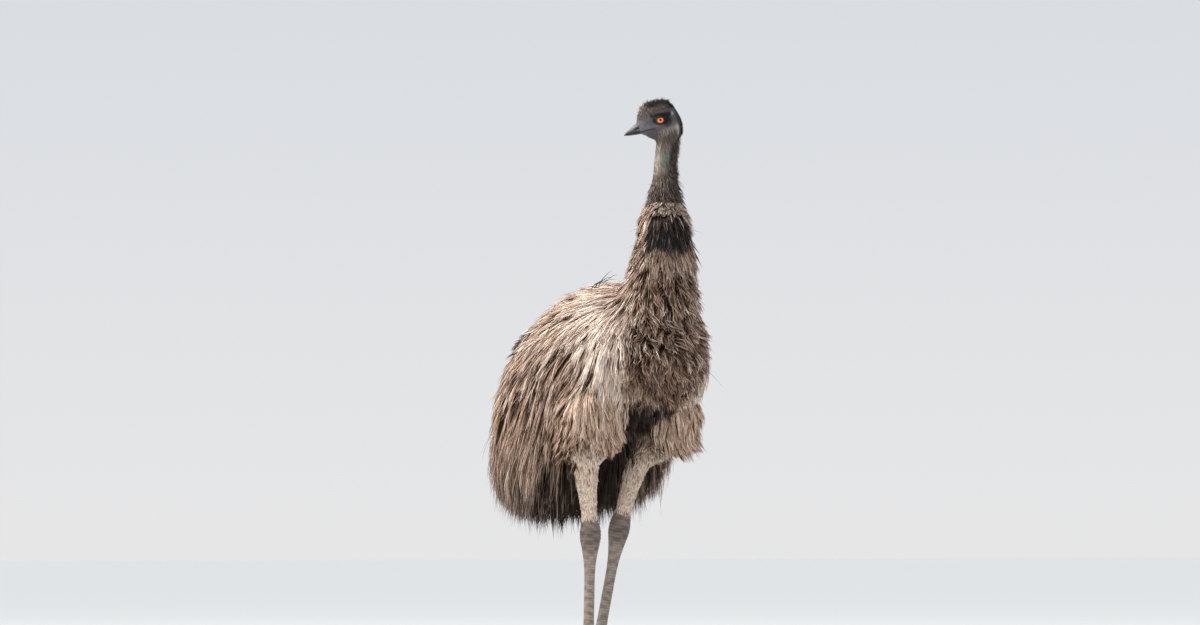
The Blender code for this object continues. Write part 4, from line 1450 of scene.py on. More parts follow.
def nearest(points, centres):
    """The index of the nearest centre to each point."""
    tree = KDTree(len(centres))
    for index, centre in enumerate(centres):
        tree.insert(centre, index)
    tree.balance()
    return np.array([tree.find(point)[1] for point in points])


def gathered(paths, every, strength):
    """Guides drawn towards one in `every` of them by strength * share ** 1.5, into bigger locks."""
    leaders = paths[::every, 0]
    step = paths[:, 0] - leaders[nearest(paths[:, 0], leaders)]
    along = np.linspace(0, 1, paths.shape[1])[None, :, None]
    return paths - step[:, None] * strength[:, None, None] * along**1.5


# %% Strands
def picked(mask, *values):
    """The same places of several arrays. A value that is the same for all places stays."""
    return [value[mask] if np.ndim(value) else value for value in values]


RING_SHARES = {3: np.array([0.0, 0.42, 0.78]), 4: np.array([0.0, 0.28, 0.58, 0.84])}
RING_WIDTHS = {3: np.array([0.8, 1.0, 0.6]), 4: np.array([0.6, 1.0, 0.85, 0.5])}
PATCH = 0.003  # side of a strand's patch on its map
LOWEST_STRAND = 0.002  # no strand goes below this height over the floor


def strands(name, material, slot, roots, maps, paths, which, width, share, colours, rng, nodes=(),
            clump=0.0, wobble=0.003, thickness=0.45, sink=0.0, lift=0.0, curl=0.0, outward=None,
            only=None):
    """Closed three-sided strands that follow guides.

    A strand's line is its root plus the guide's own travel, scaled by `share`, less `clump` times
    share ** 1.3 of the step from the guide's root, plus one slow wave of size `wobble`. `sink`
    lowers it into the coat, `lift` raises its tip, and `curl` winds the end. Each ring is a flat
    triangle whose wide side lies on the coat. `colours` is (strands, rings + 1, 3), and `only` says
    which of the strands are made.
    """
    if only is not None:
        roots, maps, which, width, share, colours = picked(
            only, roots, maps, which, width, share, colours
        )
        clump, sink, lift, curl, outward = picked(only, clump, sink, lift, curl, outward)
    count, rings = len(roots), colours.shape[1] - 1
    along = np.append(RING_SHARES[rings], 1.0)
    travel = at_share(paths, which, along[None] * share[:, None]) - paths[which, 0][:, None]
    step = roots - paths[which, 0]
    clump, sink, lift, curl = (np.asarray(v) * np.ones(count) for v in (clump, sink, lift, curl))
    line = roots[:, None] + travel - step[:, None] * (clump[:, None] * along**1.3)[..., None]
    outward = slope(flesh_field, roots) if outward is None else outward
    span = unit(line[:, -1] - line[:, 0])
    sideways = unit(np.cross(span, outward))
    phase = rng.uniform(0, 2 * math.pi, (2, count, 1))
    size = wobble * rng.normal(size=(2, count, 1))
    bend = np.sin(along * 4.2 + phase[0]) - np.sin(phase[0])
    line = line + (bend * size[0])[..., None] * sideways[:, None]
    height = np.sin(along * 5 + phase[1]) * along * size[1] * 0.5
    height = height + lift[:, None] * ramp(along, 0.35, 1.0)
    height = height - sink[:, None] * np.minimum(along * 2.5, 1)
    line = line + height[..., None] * outward[:, None]
    turn = rng.uniform(0, 2 * math.pi, (count, 1)) + along * 3.5
    far = curl[:, None] * along**2 * rng.uniform(0.3, 1, (count, 1))
    line = line + (far * np.cos(turn))[..., None] * sideways[:, None]
    line = line + (far * np.sin(turn))[..., None] * outward[:, None]
    line[..., 2] = np.maximum(line[..., 2], LOWEST_STRAND)
    tangent = unit(np.gradient(line, axis=1))
    flat = unit(np.cross(tangent, outward[:, None]))
    raised = np.cross(flat, tangent)
    roll = rng.normal(size=(count, 1, 1)) * 0.5
    c, s = np.cos(roll), np.sin(roll)
    flat, raised = flat * c + raised * s, raised * c - flat * s
    corner = np.array([[-0.5, 0.0], [0.5, 0.0], [0.0, 1.0]])
    wide = width[:, None] * RING_WIDTHS[rings]
    points = line[:, :rings, None] + (
        flat[:, :rings, None] * (wide[..., None] * corner[:, 0])[..., None]
        + raised[:, :rings, None] * (wide[..., None] * thickness * corner[:, 1])[..., None]
    )
    points = np.concatenate([points.reshape(count, -1, 3), line[:, -1:]], axis=1)
    each = rings * 3 + 1
    ring = np.arange(rings - 1)[:, None] * 3
    k, after = np.arange(3), (np.arange(3) + 1) % 3
    quad = np.stack([ring + k, ring + after, ring + 3 + after, ring + 3 + k], axis=-1)
    last = (rings - 1) * 3
    end = np.stack([last + k, last + after, np.full(3, each - 1)], axis=-1)
    tri = np.concatenate([end, [[0, 2, 1]]])
    first = (np.arange(count) * each)[:, None, None]
    quads = (quad.reshape(-1, 4) + first).reshape(-1, 4)
    tris = (tri + first).reshape(-1, 3)
    colours = np.concatenate([np.repeat(colours[:, :rings], 3, axis=1), colours[:, rings:]], axis=1)
    colours = colours.reshape(-1, 3)
    lowest, highest = maps.min(axis=0), maps.max(axis=0)
    corner_uv = 0.002 + (maps - lowest) / np.maximum(highest - lowest, 1e-6) * 0.993
    local_u = (np.arange(each) % 3) / 2 * PATCH
    local_v = np.append(np.repeat(along[:-1], 3), 1) * PATCH
    uv = (corner_uv[:, None] + np.stack([local_u, local_v], axis=-1)).reshape(-1, 2)
    corner_map = np.concatenate([uv[quads.ravel()], uv[tris.ravel()]])
    finish_piece(build_mesh(name, points, quads, tris, material, colours, corner_map), slot, *nodes)


def tones(root, middle, tip, reach=0.35, rings=4):
    """Colours of a strand's rings from three colours for each strand, tip included."""
    along = np.append(RING_SHARES[rings], 1.0)[None, :, None]
    low = np.clip(along / reach, 0, 1)
    high = ramp(along, 0.50, 1.0)
    body = root[:, None] * (1 - low) + middle[:, None] * low
    return body * (1 - high) + tip[:, None] * high


# %% [markdown]
# ## The body's coat
# The feathers part along the spine. From there they run out, back and down, and on the flanks they
# hang almost straight. The rump and the flanks have the longest ones, which hang as a ragged drape
# beside and behind the legs. The breast wears short, curled, fluffy ones in puffs. Tone follows the
# bird: sun-bleached tan and cream locks over a dark under-layer, cream over the shoulders, brown on
# the breast. Painted shade is laid over that: each strand darkens to its root, the under-layer is
# partly shade, the coat behind the thighs is parted and dark, and the inside of the drape, the
# belly and the space between the legs are nearly black. The shoulders' cream is made paler still as
# painted light.

# %% Regions
def breast_share(P):
    """1 on the breast and the front of the neck's root, 0 on the flanks and the back."""
    _, y, z = axes(P)
    edge = -0.306 + 0.03 * fall(z, 0.80, 0.95)
    return fall(y - edge, -0.030, 0.008) * fall(z, 1.19, 1.25)


def belly_share(P, out):
    """1 on the underside, which the drape and the thighs hide."""
    return ramp(-out[:, 2], 0.25, 0.60) * fall(P[:, 2], 0.70, 0.80)


def shoulder_top(P):
    """1 behind and beside the neck's root, where feathers from the neck and the back part."""
    _, y, z = axes(P)
    return ramp(z, 0.98, 1.06) * fall(z, 1.17, 1.25) * ramp(y, -0.34, -0.27) * fall(y, 0.0, 0.14)


def hanging_share(P):
    """1 on the lower half behind the legs, where the coat hangs as a drape."""
    return fall(P[:, 2], 0.72, 0.90) * ramp(P[:, 1], -0.10, 0.0)


# %% How the feathers lie, and how long they are
def body_lie(P, share):
    """Out from the parting and back on top, down on the sides, straight down on the neck."""
    front = fall(P[:, 1], -0.16, 0.06)
    side = P[:, 0] / (np.abs(P[:, 0]) + 0.04 + 0.06 * front)
    up = np.maximum(slope(plumage_field, P)[:, 2], 0)
    trunk = ramp(P[:, 1], -0.30, 0.02)
    low = ramp(P[:, 2], 1.25, 1.10)
    back = (0.07 + 0.20 * ramp(P[:, 2], 0.90, 1.06) + 0.05 * ramp(P[:, 1], 0.1, 0.3)) * trunk
    back = back + 0.95 * up * ramp(P[:, 1], -0.32, -0.12)
    out = side * (0.10 + (0.42 - 0.12 * front) * up) * low * (1 - 0.85 * ramp(P[:, 1], 0.26, 0.37))
    want = np.stack([out, back * low + 0.02, -np.ones(len(P))], axis=-1)
    puffy = breast_share(P)
    swirl = 0.10 * np.stack([waves(P, 0.07, 52), waves(P, 0.10, 51), 0 * puffy], axis=-1)
    ruffle = np.stack([waves(P, 0.060, 53), 0 * puffy, 0.6 * waves(P, 0.05, 54)], axis=-1)
    return unit(want + swirl * low[:, None] + ruffle * puffy[:, None])


def feather_length(P):
    """Metres: long on the flanks and longest on the rump, short on the breast and the neck."""
    x, y, z = axes(P)
    length = 0.140 + 0.050 * ramp(y, 0.05, 0.30)
    length = length + 0.150 * ramp(-z, -0.90, -0.72) * ramp(y, -0.12, 0.03)
    # between the legs the coat is short, so that the thighs stand apart
    middle = fall(np.abs(x), 0.07, 0.14) * fall(y, -0.10, 0.0) * fall(z, 0.76, 0.86)
    length = length * (1 - 0.6 * middle)
    neck = ramp(z, 1.12, 1.24) * fall(y, -0.22, -0.12)
    length = length * (1 - neck) + 0.085 * neck
    puffy = breast_share(P)
    return length * (1 - puffy) + 0.066 * puffy


def body_weight(P):
    """Denser where feathers are short and where the drape hangs, thin on the belly."""
    x, y, z = axes(P)
    belly = fall(z, 0.60, 0.68) * fall(np.abs(x), 0.08, 0.14)
    front = fall(y, -0.28, -0.14)
    drape = fall(z, 0.74, 0.86) * ramp(y, -0.10, 0.02)
    return (1 + 1.1 * front + 0.8 * drape + 1.3 * shoulder_top(P)) * (1 - 0.4 * belly)


# %% What colour they are
def brown_to_cream(lightness, palest=1.0):
    """Brown at 0, tan at a half, cream at 1, or only `palest` of the way to cream."""
    low, high = np.clip(lightness * 2, 0, 1), np.clip(lightness * 2 - 1, 0, 1)
    return mix(mix(BROWN, TAN, low), CREAM, high * palest)


def body_tones(roots, out, guide_roots, which, rng):
    """Root, middle and tip colours with painted shade, and which strands belong to the dark
    under-layer.
    """
    x, y, z = axes(roots)
    count = len(roots)
    lock = guide_roots[which]
    patchy = waves(lock, 0.15, 61) * 0.4 + waves(lock, 0.045, 62) * 0.5
    own = rng.normal(size=len(guide_roots))[which]
    middle_y = -0.262 + 0.075 * ramp(z, 0.98, 1.18)
    band = 0.060 + 0.022 * ramp(z, 0.95, 1.08)
    shoulder = bell(y, middle_y, band) * ramp(np.abs(x), 0.04, 0.09) * fall(z, 1.19, 1.27)
    shoulder = shoulder * ramp(z, 0.78, 0.90)
    puffy = breast_share(roots)
    lightness = 0.40 + 0.20 * ramp(z, 0.92, 1.04) + 0.15 * patchy + 0.11 * own
    lightness = lightness + 0.20 * rng.normal(size=count)
    # the cream over the shoulders is their own pale band, made paler still as painted light
    lightness = lightness + 0.62 * shoulder * (1 - puffy)
    lightness = lightness - (0.14 - 0.16 * patchy - 0.07 * own) * puffy
    lightness = lightness - 0.14 * ramp(z, 1.02, 1.12) * fall(y, -0.26, -0.18) * (1 - shoulder)
    # behind the thigh the coat is parted and painted dark as shade, and the drape below is browner
    # than the flank
    gap = bell(y, -0.115, 0.028) * fall(z, 0.84, 0.96)
    lightness = lightness - 0.22 * gap - 0.12 * fall(z, 0.78, 0.92) * ramp(y, -0.12, -0.04)
    light = brown_to_cream(np.clip(lightness, 0, 1))
    dark = mix(SOOT, BROWN, 0.1 + 0.7 * rng.uniform(0, 1, count) ** 1.5)
    light = mix(light, "#a9785a", 0.30 * (rng.uniform(size=count) < 0.25) * (1 - shoulder))
    chance = 0.46 + 0.06 * puffy - 0.34 * shoulder * (1 - puffy) - 0.12 * patchy + 0.25 * gap
    chance = chance - 0.14 * ramp(z, 0.96, 1.08) * ramp(y, -0.18, -0.10)
    # the dark under-layer's strands sink into the coat: partly the bird's own dark feathers, partly
    # painted shade of the coat's depth
    deep = rng.uniform(size=count) < chance
    middle = mix(light, dark, deep)
    dark_tip = (rng.uniform(size=count) < 0.30) * 0.6
    tip = mix(mix(middle, CREAM, 0.30 * (~deep) * (1 - 0.7 * puffy)), UMBER, dark_tip)
    # painted shade: each strand darkens towards its root, less on the shoulders
    root = mix(middle, SOOT, 0.65 - 0.40 * shoulder)
    # the drape ends in darker tips, and its inside and the belly are painted nearly black as shade
    drape = fall(z, 0.66, 0.84) * ramp(y, -0.06, 0.06)
    middle = mix(middle, UMBER, drape * 0.36)
    tip = mix(tip, SOOT, drape * 0.60 * rng.uniform(size=count))
    inner = belly_share(roots, out) * fall(np.abs(x), 0.11, 0.16)
    # painted shade: between the legs the coat is nearly black too
    between = fall(z, 0.60, 0.70) * fall(np.abs(x), 0.08, 0.15) * fall(y, 0.20, 0.32)
    inner = np.maximum(inner, between)
    # here and there a brown strand hangs among the black ones
    brown = rng.uniform(size=count) < 0.30 * ramp(np.abs(x), 0.03, 0.10)
    inner = inner * np.where(brown, 0.35, 1.0)
    # painted shade: the hollow before the thighs, under the breast, is nearly black
    front_cave_shade = fall(y, -0.14, -0.06) * fall(z, 0.80, 0.84) * fall(np.abs(x), 0.08, 0.12)
    inner = np.maximum(inner, front_cave_shade)
    return *(mix(colour, SOOT, inner * 0.93) for colour in (root, middle, tip)), deep


# %% Body coat: guides, then strands in regions
RNG = np.random.default_rng(7)
BODY_ROWS = int(np.argmax(SPINE[0][:, 2] > 1.27))
BODY_GUIDES, BODY_STRANDS = 3900, 41500

guide_roots, _ = scatter(skin_rings, body_weight, BODY_GUIDES, RNG, 0, BODY_ROWS)
guide_puffy = breast_share(guide_roots)
guide_lengths = feather_length(guide_roots) * RNG.uniform(0.82, 1.14, BODY_GUIDES)
body_guides = grow(guide_roots, guide_lengths, body_lie, plumage_field, RNG, rise=1.8)
pull = RNG.uniform(0.0, 0.45, BODY_GUIDES) * (1 - 0.7 * shoulder_top(guide_roots))
body_guides = gathered(body_guides, 7, pull)
ragged = RNG.uniform(-0.034, 0.018, BODY_GUIDES) * (1 - guide_puffy)
ragged = ragged - 0.016 * ramp(guide_roots[:, 1], 0.26, 0.36)
room = inside_share(body_guides, plumage_field, 0.001 + ragged)
# before the thighs the coat ends in an apron's edge, and the cream of the thighs shows below it
apron = np.where(guide_roots[:, 0] < 0, 0.742, 0.776) + 0.024 * waves(guide_roots, 0.030, 55)
apron = apron + RNG.uniform(-0.020, 0.016, BODY_GUIDES)
apron = apron - ramp(guide_roots[:, 1], -0.09, -0.03)
apron = apron - fall(np.abs(guide_roots[:, 0]), 0.06, 0.09)
room = np.minimum(room, inside_share(body_guides, lambda P: -P[:, 2], -apron))
on_neck = ramp(guide_roots[:, 2], 1.08, 1.16)
calm_lift = 0.010 * RNG.uniform(0, 1, BODY_GUIDES) ** 4 * (1 - 0.7 * on_neck)
puffy_lift = RNG.uniform(-0.004, 0.014, BODY_GUIDES) * (1 - 0.6 * on_neck)
guide_lift = np.where(guide_puffy > 0.5, puffy_lift, calm_lift)
print("body guides:", body_guides.shape[:2])

roots, maps = scatter(skin_rings, body_weight, BODY_STRANDS, RNG, 0, BODY_ROWS)
which = nearest(roots, guide_roots)
*feather_tones, deep = body_tones(roots, slope(flesh_field, roots), guide_roots, which, RNG)
share = np.clip(RNG.normal(0.90, 0.12, BODY_STRANDS), 0.45, 1.0)
share = np.minimum(share, room[which] * RNG.uniform(0.93, 1.0, BODY_STRANDS))
deep_width = RNG.uniform(0.0028, 0.0045, BODY_STRANDS)
width = np.where(deep, deep_width, RNG.uniform(0.0028, 0.0056, BODY_STRANDS))
tightness = RNG.uniform(0.45, 0.88, BODY_GUIDES)[which] * (1 - 0.6 * shoulder_top(roots))
tightness = np.where(deep, 0.15, tightness)
deep_sink = RNG.uniform(0.005, 0.014, BODY_STRANDS)
sink = np.where(deep, deep_sink, RNG.uniform(0, 0.004, BODY_STRANDS))
hanging = hanging_share(roots)
lift = (0.013 + 0.012 * hanging) * RNG.uniform(0, 1, BODY_STRANDS) ** (9 - 3 * hanging)
lift = guide_lift[which] + lift
curl = (0.004 + 0.012 * hanging) * RNG.uniform(0, 1, BODY_STRANDS) ** 2
curl = 0.010 * breast_share(roots) + curl
BAND_ENDS = {"breast": -0.17, "shoulder": -0.03, "flank": 0.14}  # y, and the rump is the rest
band = np.select([roots[:, 1] < end for end in BAND_ENDS.values()], list(BAND_ENDS), "rump")
region = np.char.add(np.char.add(band, "_"), np.where(roots[:, 0] < 0, "R", "L"))
CLAIMED = {"shoulder_R": ("wing_R",), "shoulder_L": ("wing_L",)}
SHORTEST_BODY, SHORTEST_WISP = 0.26, 0.35  # a strand cut off nearer its root is left out
for name in sorted(set(region)):
    colours = tones(*feather_tones, reach=0.5, rings=3 if name.startswith("breast") else 4)
    strands(f"coat_{name}", FEATHER, "plumage", roots, maps, body_guides, which, width, share,
            colours, RNG, CLAIMED.get(name, ()), clump=tightness, sink=sink, lift=lift, curl=curl,
            only=(region == name) & (share > SHORTEST_BODY))

# %% Wisps at the drape's edge
# A looser, curlier layer of single barbs frays the outline of the drape and of the breast.
WISPS = 3600


def wisp_weight(P):
    """Most on the lower drape, some on the breast and the flanks."""
    _, y, z = axes(P)
    drape = fall(z, 0.70, 0.90) * ramp(y, -0.12, 0.0)
    return drape + 0.30 * breast_share(P) + 0.10


roots, maps = scatter(skin_rings, wisp_weight, WISPS, RNG, 0, BODY_ROWS)
which = nearest(roots, guide_roots)
*feather_tones, _ = body_tones(roots, slope(flesh_field, roots), guide_roots, which, RNG)
hanging = hanging_share(roots)
share = np.minimum(1.0, room[which] * RNG.uniform(0.96, 1.08 + 0.06 * hanging, WISPS))
feather_tones[2] = mix(feather_tones[2], UMBER, 0.7 * RNG.uniform(0, 1, WISPS))
width = RNG.uniform(0.0012, 0.0022, WISPS)
tightness = RNG.uniform(-0.1, 0.5, WISPS)
lift = (0.004 + 0.016 * RNG.uniform(0, 1, WISPS) ** 2) * (0.5 + 0.5 * hanging)
curl = 0.008 + 0.016 * RNG.uniform(0, 1, WISPS)
strands("coat_wisps", FEATHER, "plumage", roots, maps, body_guides, which, width, share,
        tones(*feather_tones, reach=0.5), RNG, clump=tightness, wobble=0.006, lift=lift, curl=curl,
        only=share > SHORTEST_WISP)

# %% [markdown]
# ## The neck's coat
# The lower neck wears a cape of narrow feathers that starts above in a pale collar and flares out
# below it like a bell. On its front is a black patch, turned towards the right because the neck is
# twisted. Above the collar the feathers are short, dark and hair-like, and they thin out to bare
# skin.

# %% Neck cape and collar
def row_at(z):
    """The skin's row whose middle first reaches a height on the neck."""
    return int(np.argmax(SPINE[0][:, 2] >= z))


def evenly(P):
    """A weight for scatter that favours no place."""
    return np.ones(P.shape[:-1])


def level_away(P, middle):
    """The level way from a middle, given as x and y beside each place, out to the place."""
    return unit(np.column_stack([P[:, :2] - middle, np.zeros(len(P))]))


def neck_lie(P, share):
    """Down, with a slight spiral, so that the feathers cross a little."""
    away = level_away(P, neck_centre(P[:, 2]))
    round_it = np.cross(away, SKYWARD) * (0.22 * waves(P, 0.045, 71))[:, None]
    return unit(-SKYWARD + round_it + away * 0.12)


PATCH_SIDE = level_way(math.radians(-20))[:2]


def sag(P):
    """How much lower the pale collar hangs in the middle of the front, in metres."""
    return 0.010 * ramp(facing(P, PATCH_SIDE), 0.3, 0.9)


def neck_tones(roots, lock, rng):
    """Tan and brown strands, a pale collar above and the black patch on the turned front."""
    z = roots[:, 2]
    count = len(roots)
    front = facing(roots, PATCH_SIDE)
    lightness = np.clip(0.50 + 0.35 * waves(lock, 0.03, 72) + 0.28 * rng.normal(size=count), 0, 1)
    light = brown_to_cream(lightness, 0.8)
    dark = mix(SOOT, BROWN, 0.2 + 0.5 * rng.uniform(0, 1, count))
    pinkish = rng.uniform(size=count) < 0.25
    light = mix(light, "#c09a84", pinkish * 0.35)
    chance = 0.42 + 0.14 * ramp(-front, 0.2, 0.8) + 0.10 * ramp(z, 1.30, 1.38)
    deep = rng.uniform(size=count) < chance
    middle = mix(light, dark, deep)
    tip = mix(middle, UMBER, 0.5 * rng.uniform(size=count))
    # the patch is an oval: narrower above and below, ragged at its rim
    oval = 0.50 + 0.12 * ((z - 1.350) / 0.045) ** 2 + 0.07 * waves(lock, 0.03, 73)
    patch = ramp(front, oval - 0.05, oval + 0.05) * ramp(z, 1.300, 1.322)
    patch = patch * fall(z + 0.004 * waves(roots, 0.03, 74), 1.388, 1.394)
    # its upper half is browner and streaked with cream, its lower half nearly pure black
    upper = ramp(z, 1.355, 1.385)
    patch = np.where(rng.uniform(size=count) < 0.975 - 0.12 * upper, patch, patch * 0.25)
    black = mix("#181918", "#4a4a49", rng.uniform(0, 1, count) ** 3)
    browner = mix(UMBER, BROWN, rng.uniform(0, 1, count))
    black = mix(black, browner, 0.6 * upper * (rng.uniform(size=count) < 0.45))
    middle, tip = mix(middle, black, patch), mix(tip, black, patch)
    collar = ramp(z + sag(roots) + 0.003 * waves(roots, 0.02, 75), 1.394, 1.399)
    pale = mix("#e6d2c2", "#a08b7d", rng.uniform(0, 1, count) ** 1.5)
    collar = collar * (0.15 + 0.85 * ramp(front, 0.10, 0.45)) * (rng.uniform(size=count) < 0.88)
    middle, tip = mix(middle, pale, collar), mix(tip, pale, collar * 0.7)
    # painted shade: each strand darkens towards its root
    return mix(middle, SOOT, 0.5), middle, tip, deep


NECK_ROWS = (row_at(1.262), row_at(1.419))
NECK_GUIDES, NECK_STRANDS = 900, 9400
guide_roots, _ = scatter(skin_rings, evenly, NECK_GUIDES, RNG, *NECK_ROWS)
front = facing(guide_roots, PATCH_SIDE)
short = ramp(guide_roots[:, 2] + sag(guide_roots), 1.388, 1.396) * ramp(front, 0.0, 0.4)
lengths = (0.080 - 0.058 * short) * RNG.uniform(0.75, 1.25, NECK_GUIDES)
neck_guides = grow(guide_roots, lengths, neck_lie, plumage_field, RNG, rise=1.5, spare=0.003)
neck_guides = gathered(neck_guides, 5, RNG.uniform(0.1, 0.55, NECK_GUIDES))
roots, maps = scatter(skin_rings, evenly, NECK_STRANDS, RNG, *NECK_ROWS)
which = nearest(roots, guide_roots)
share = np.clip(RNG.normal(0.9, 0.13, NECK_STRANDS), 0.5, 1.0)
tightness = RNG.uniform(0.35, 0.95, NECK_GUIDES)[which]
*feather_tones, deep = neck_tones(roots, guide_roots[which], RNG)
colours = tones(*feather_tones, reach=0.45, rings=3)
width = RNG.uniform(0.0019, 0.0038, NECK_STRANDS)
sink = np.where(deep, RNG.uniform(0.002, 0.007, NECK_STRANDS), 0.0)
loose = RNG.uniform(0, 1, NECK_GUIDES) ** 4 * 0.013 * (1 - short)
lift = loose[which] + 0.007 * RNG.uniform(0, 1, NECK_STRANDS) ** 6
for side, mine in (("R", roots[:, 0] < 0), ("L", roots[:, 0] >= 0)):
    strands(f"coat_neck_{side}", FEATHER, "dark_plumage", roots, maps, neck_guides, which, width,
            share, colours, RNG, clump=tightness, wobble=0.002, sink=sink, lift=lift, only=mine)

# %% [markdown]
# ## Bristles
# On the upper neck, nape and crown the feathers are only bare shafts. Each one is its own path: it
# leaves the skin at a slant, goes its length and droops a little. They are the smallest strands,
# two millimetres wide on the neck and one on the crown, where they stand up in a ragged brush.

# %% One function for bristles
def bristles(name, roots, maps, direction, lengths, widths, middle, tip, rng, outward=None,
             curve=0.25, slot="dark_plumage", material=BRISTLE, wobble=0.0008, thickness=0.8,
             spread=0.16, root_shade=0.35):
    """Strands along root + direction * length * share, bent by `curve` * share ** 2 downwards."""
    share = np.linspace(0, 1, STEPS + 1)[None, :, None]
    reach = lengths[:, None, None]
    heading = unit(direction + rng.normal(size=(len(roots), 3)) * spread)[:, None]
    paths = roots[:, None] + heading * reach * share - SKYWARD * reach * curve * share**2
    colours = tones(mix(middle, SOOT, root_shade), middle, tip, rings=3)
    strands(name, material, slot, roots, maps, paths, np.arange(len(roots)), widths,
            np.ones(len(roots)), colours, rng, wobble=wobble, thickness=thickness, outward=outward)


def varied(first, second, count, rng, power=1.0):
    """Colours between two hex codes, one for each strand."""
    return mix(first, second, rng.uniform(0, 1, count) ** power)


# %% Upper neck
def hair_line(P):
    """Height up to which the neck is haired: low before, rising round the sides to the nape."""
    ahead = facing(P, HEAD_LEVEL[:2])
    return 1.484 + 0.146 * ramp(-ahead, 0.02, 0.90) + 0.012 * waves(P, 0.022, 81)


UPPER_NECK_BRISTLES = 9900
UPPER_NECK_ROWS = (row_at(1.398), row_at(1.640))
roots, maps = scatter(skin_rings, evenly, UPPER_NECK_BRISTLES, RNG, *UPPER_NECK_ROWS)
roots, maps = picked(roots[:, 2] > 1.409 - sag(roots), roots, maps)
past = roots[:, 2] - hair_line(roots)
on_face = ramp(roots[:, 2], 1.590, 1.620)
chance = 1.0 - 0.72 * ramp(past, -0.026, 0.012)
chance = chance - (0.12 + 0.10 * on_face) * ramp(past, 0.03, 0.07)
mask = RNG.uniform(size=len(roots)) < chance
roots, maps, past, on_face = picked(mask, roots, maps, past, on_face)
ahead = facing(roots, HEAD_LEVEL[:2])
count = len(roots)
out = slope(flesh_field, roots)
nape = ramp(-ahead, 0.0, 0.6)
high = ramp(roots[:, 2], 1.48, 1.54)
LOOSE_RNG = np.random.default_rng(88)
front_edge = ramp(past, -0.02, 0.0) * (1 - nape)
loose = (LOOSE_RNG.uniform(size=count) < 0.16) * (1 - front_edge)
direction = -SKYWARD * (1.0 - 0.25 * (nape * high)[:, None])
direction = direction + out * (0.32 + 0.62 * nape * high + 0.75 * loose)[:, None]
lengths = RNG.uniform(0.014, 0.028, count) * (1 - 0.42 * high)
lengths = lengths * (1 - 0.60 * ramp(past, -0.015, 0.015))
lengths = lengths * (1 + 0.25 * loose)
faded = 0.55 * ramp(past, -0.035, 0.0) * (1 - nape)
middle = mix(varied("#221a18", "#7b6a60", count, RNG, 1.3), "#94877c", faded)
tip = mix(varied("#332926", "#a39388", count, RNG, 1.6), SOOT, nape * 0.4)
face = on_face * (1 - nape) * ramp(past, 0.0, 0.03)
middle, tip = mix(middle, SLATE, 0.8 * face), mix(tip, SLATE, 0.8 * face)
widths = RNG.uniform(0.0013, 0.0025, count) * (1 - 0.45 * high)
widths = widths * (1 - 0.4 * ramp(past, -0.01, 0.02))
bristles("bristles_neck", roots, maps, direction, lengths, widths, middle, tip, RNG)

# %% Crown and forehead
HEAD_ROWS = (row_at(1.60), len(skin_rings) - 8)
CROWN_BRISTLES = 4700


def crown_weight(P):
    """Thick on the crown's front and the forehead, and a thin band down the back of the head."""
    f, l, u = axes(in_head(P))
    l = np.abs(l)
    ragged = 5 * waves(P, 0.012, 86)
    top = ramp(u + ragged, 26, 38) * ramp(f + ragged, -58, -42) * (1 - 0.45 * ramp(f, 20, 50))
    forehead = 0.5 * ramp(f, 32, 46) * ramp(u + ragged, 8, 20) * ramp(f, 70, 60)
    brow = 0.35 * ramp(u + ragged, 18, 26) * ramp(f + ragged, -28, -14) * ramp(f, 70, 60)
    back = ramp(-f + 0.4 * ragged, 47, 55) * 0.36 * ramp(l + ragged, 22, 12)
    return np.maximum.reduce([top, forehead, brow, back]) + 0.0001


roots, maps = scatter(skin_rings, crown_weight, CROWN_BRISTLES, RNG, *HEAD_ROWS)
count = len(roots)
f, l, u = in_head(roots).T
out = slope(flesh_field, roots)
nape = ramp(-f, 46, 54)
backward = ramp(-f, -45, 5) * (1 - nape)
tuft = waves(roots, 0.010, 83)
direction = out * (0.75 - 0.15 * backward)[:, None]
direction = direction - HEAD_FORWARD * (0.45 * backward - 0.25 * ramp(f, 25, 60))[:, None]
direction = direction + SKYWARD * (0.45 * (1 - nape))[:, None] - SKYWARD * (0.75 * nape)[:, None]
direction = direction + RNG.normal(size=(count, 3)) * (0.30 * nape)[:, None]
direction = direction + HEAD_FORWARD * (0.30 * waves(roots, 0.014, 84))[:, None]
direction = direction + HEAD_LEFT * (0.30 * waves(roots, 0.014, 85))[:, None]
lengths = RNG.uniform(0.003, 0.008, count) + 0.010 * ramp(tuft, 0.2, 0.9) * ramp(u, 34, 50)
lengths = lengths * (1 - 0.20 * ramp(f, 30, 60)) * (0.50 + 0.50 * ramp(u, 18, 32))
lengths = lengths + 0.005 * nape * fall(u, -24, 10)
wisp = ramp(f, 28, 40) * ramp(u, 28, 38) * (RNG.uniform(size=count) < 0.30)
stray = ramp(u, 40, 48) * (RNG.uniform(size=count) < 0.16)
lengths = lengths + 0.009 * wisp + 0.008 * stray
ragged = waves(roots, 0.012, 82)
fore = 0.9 * ramp(f + 6 * ragged, 14, 38)
fore = fore + 0.85 * fall(u + 3 * ragged, 38, 47) * ramp(f, -42, -16)
fore = np.clip(fore, 0, 1) * (1 - 0.55 * ramp(u + 3 * ragged, 44, 50))
black, brown = varied("#121114", "#38332f", count, RNG, 2), varied("#5a4f49", "#9b8b81", count, RNG)
middle = mix(black, brown, fore)
black, brown = varied("#0d0c0e", "#453d38", count, RNG, 3), varied("#5a4f4a", "#b2a398", count, RNG)
tip = mix(black, brown, fore * 0.9)
bleached = 0.8 * ramp(f, 34, 44) * (RNG.uniform(size=count) < 0.30)
tip = mix(tip, "#d8cfc6", 0.85 * np.maximum(wisp, bleached))
middle = mix(middle, "#b3a79c", 0.7 * wisp)
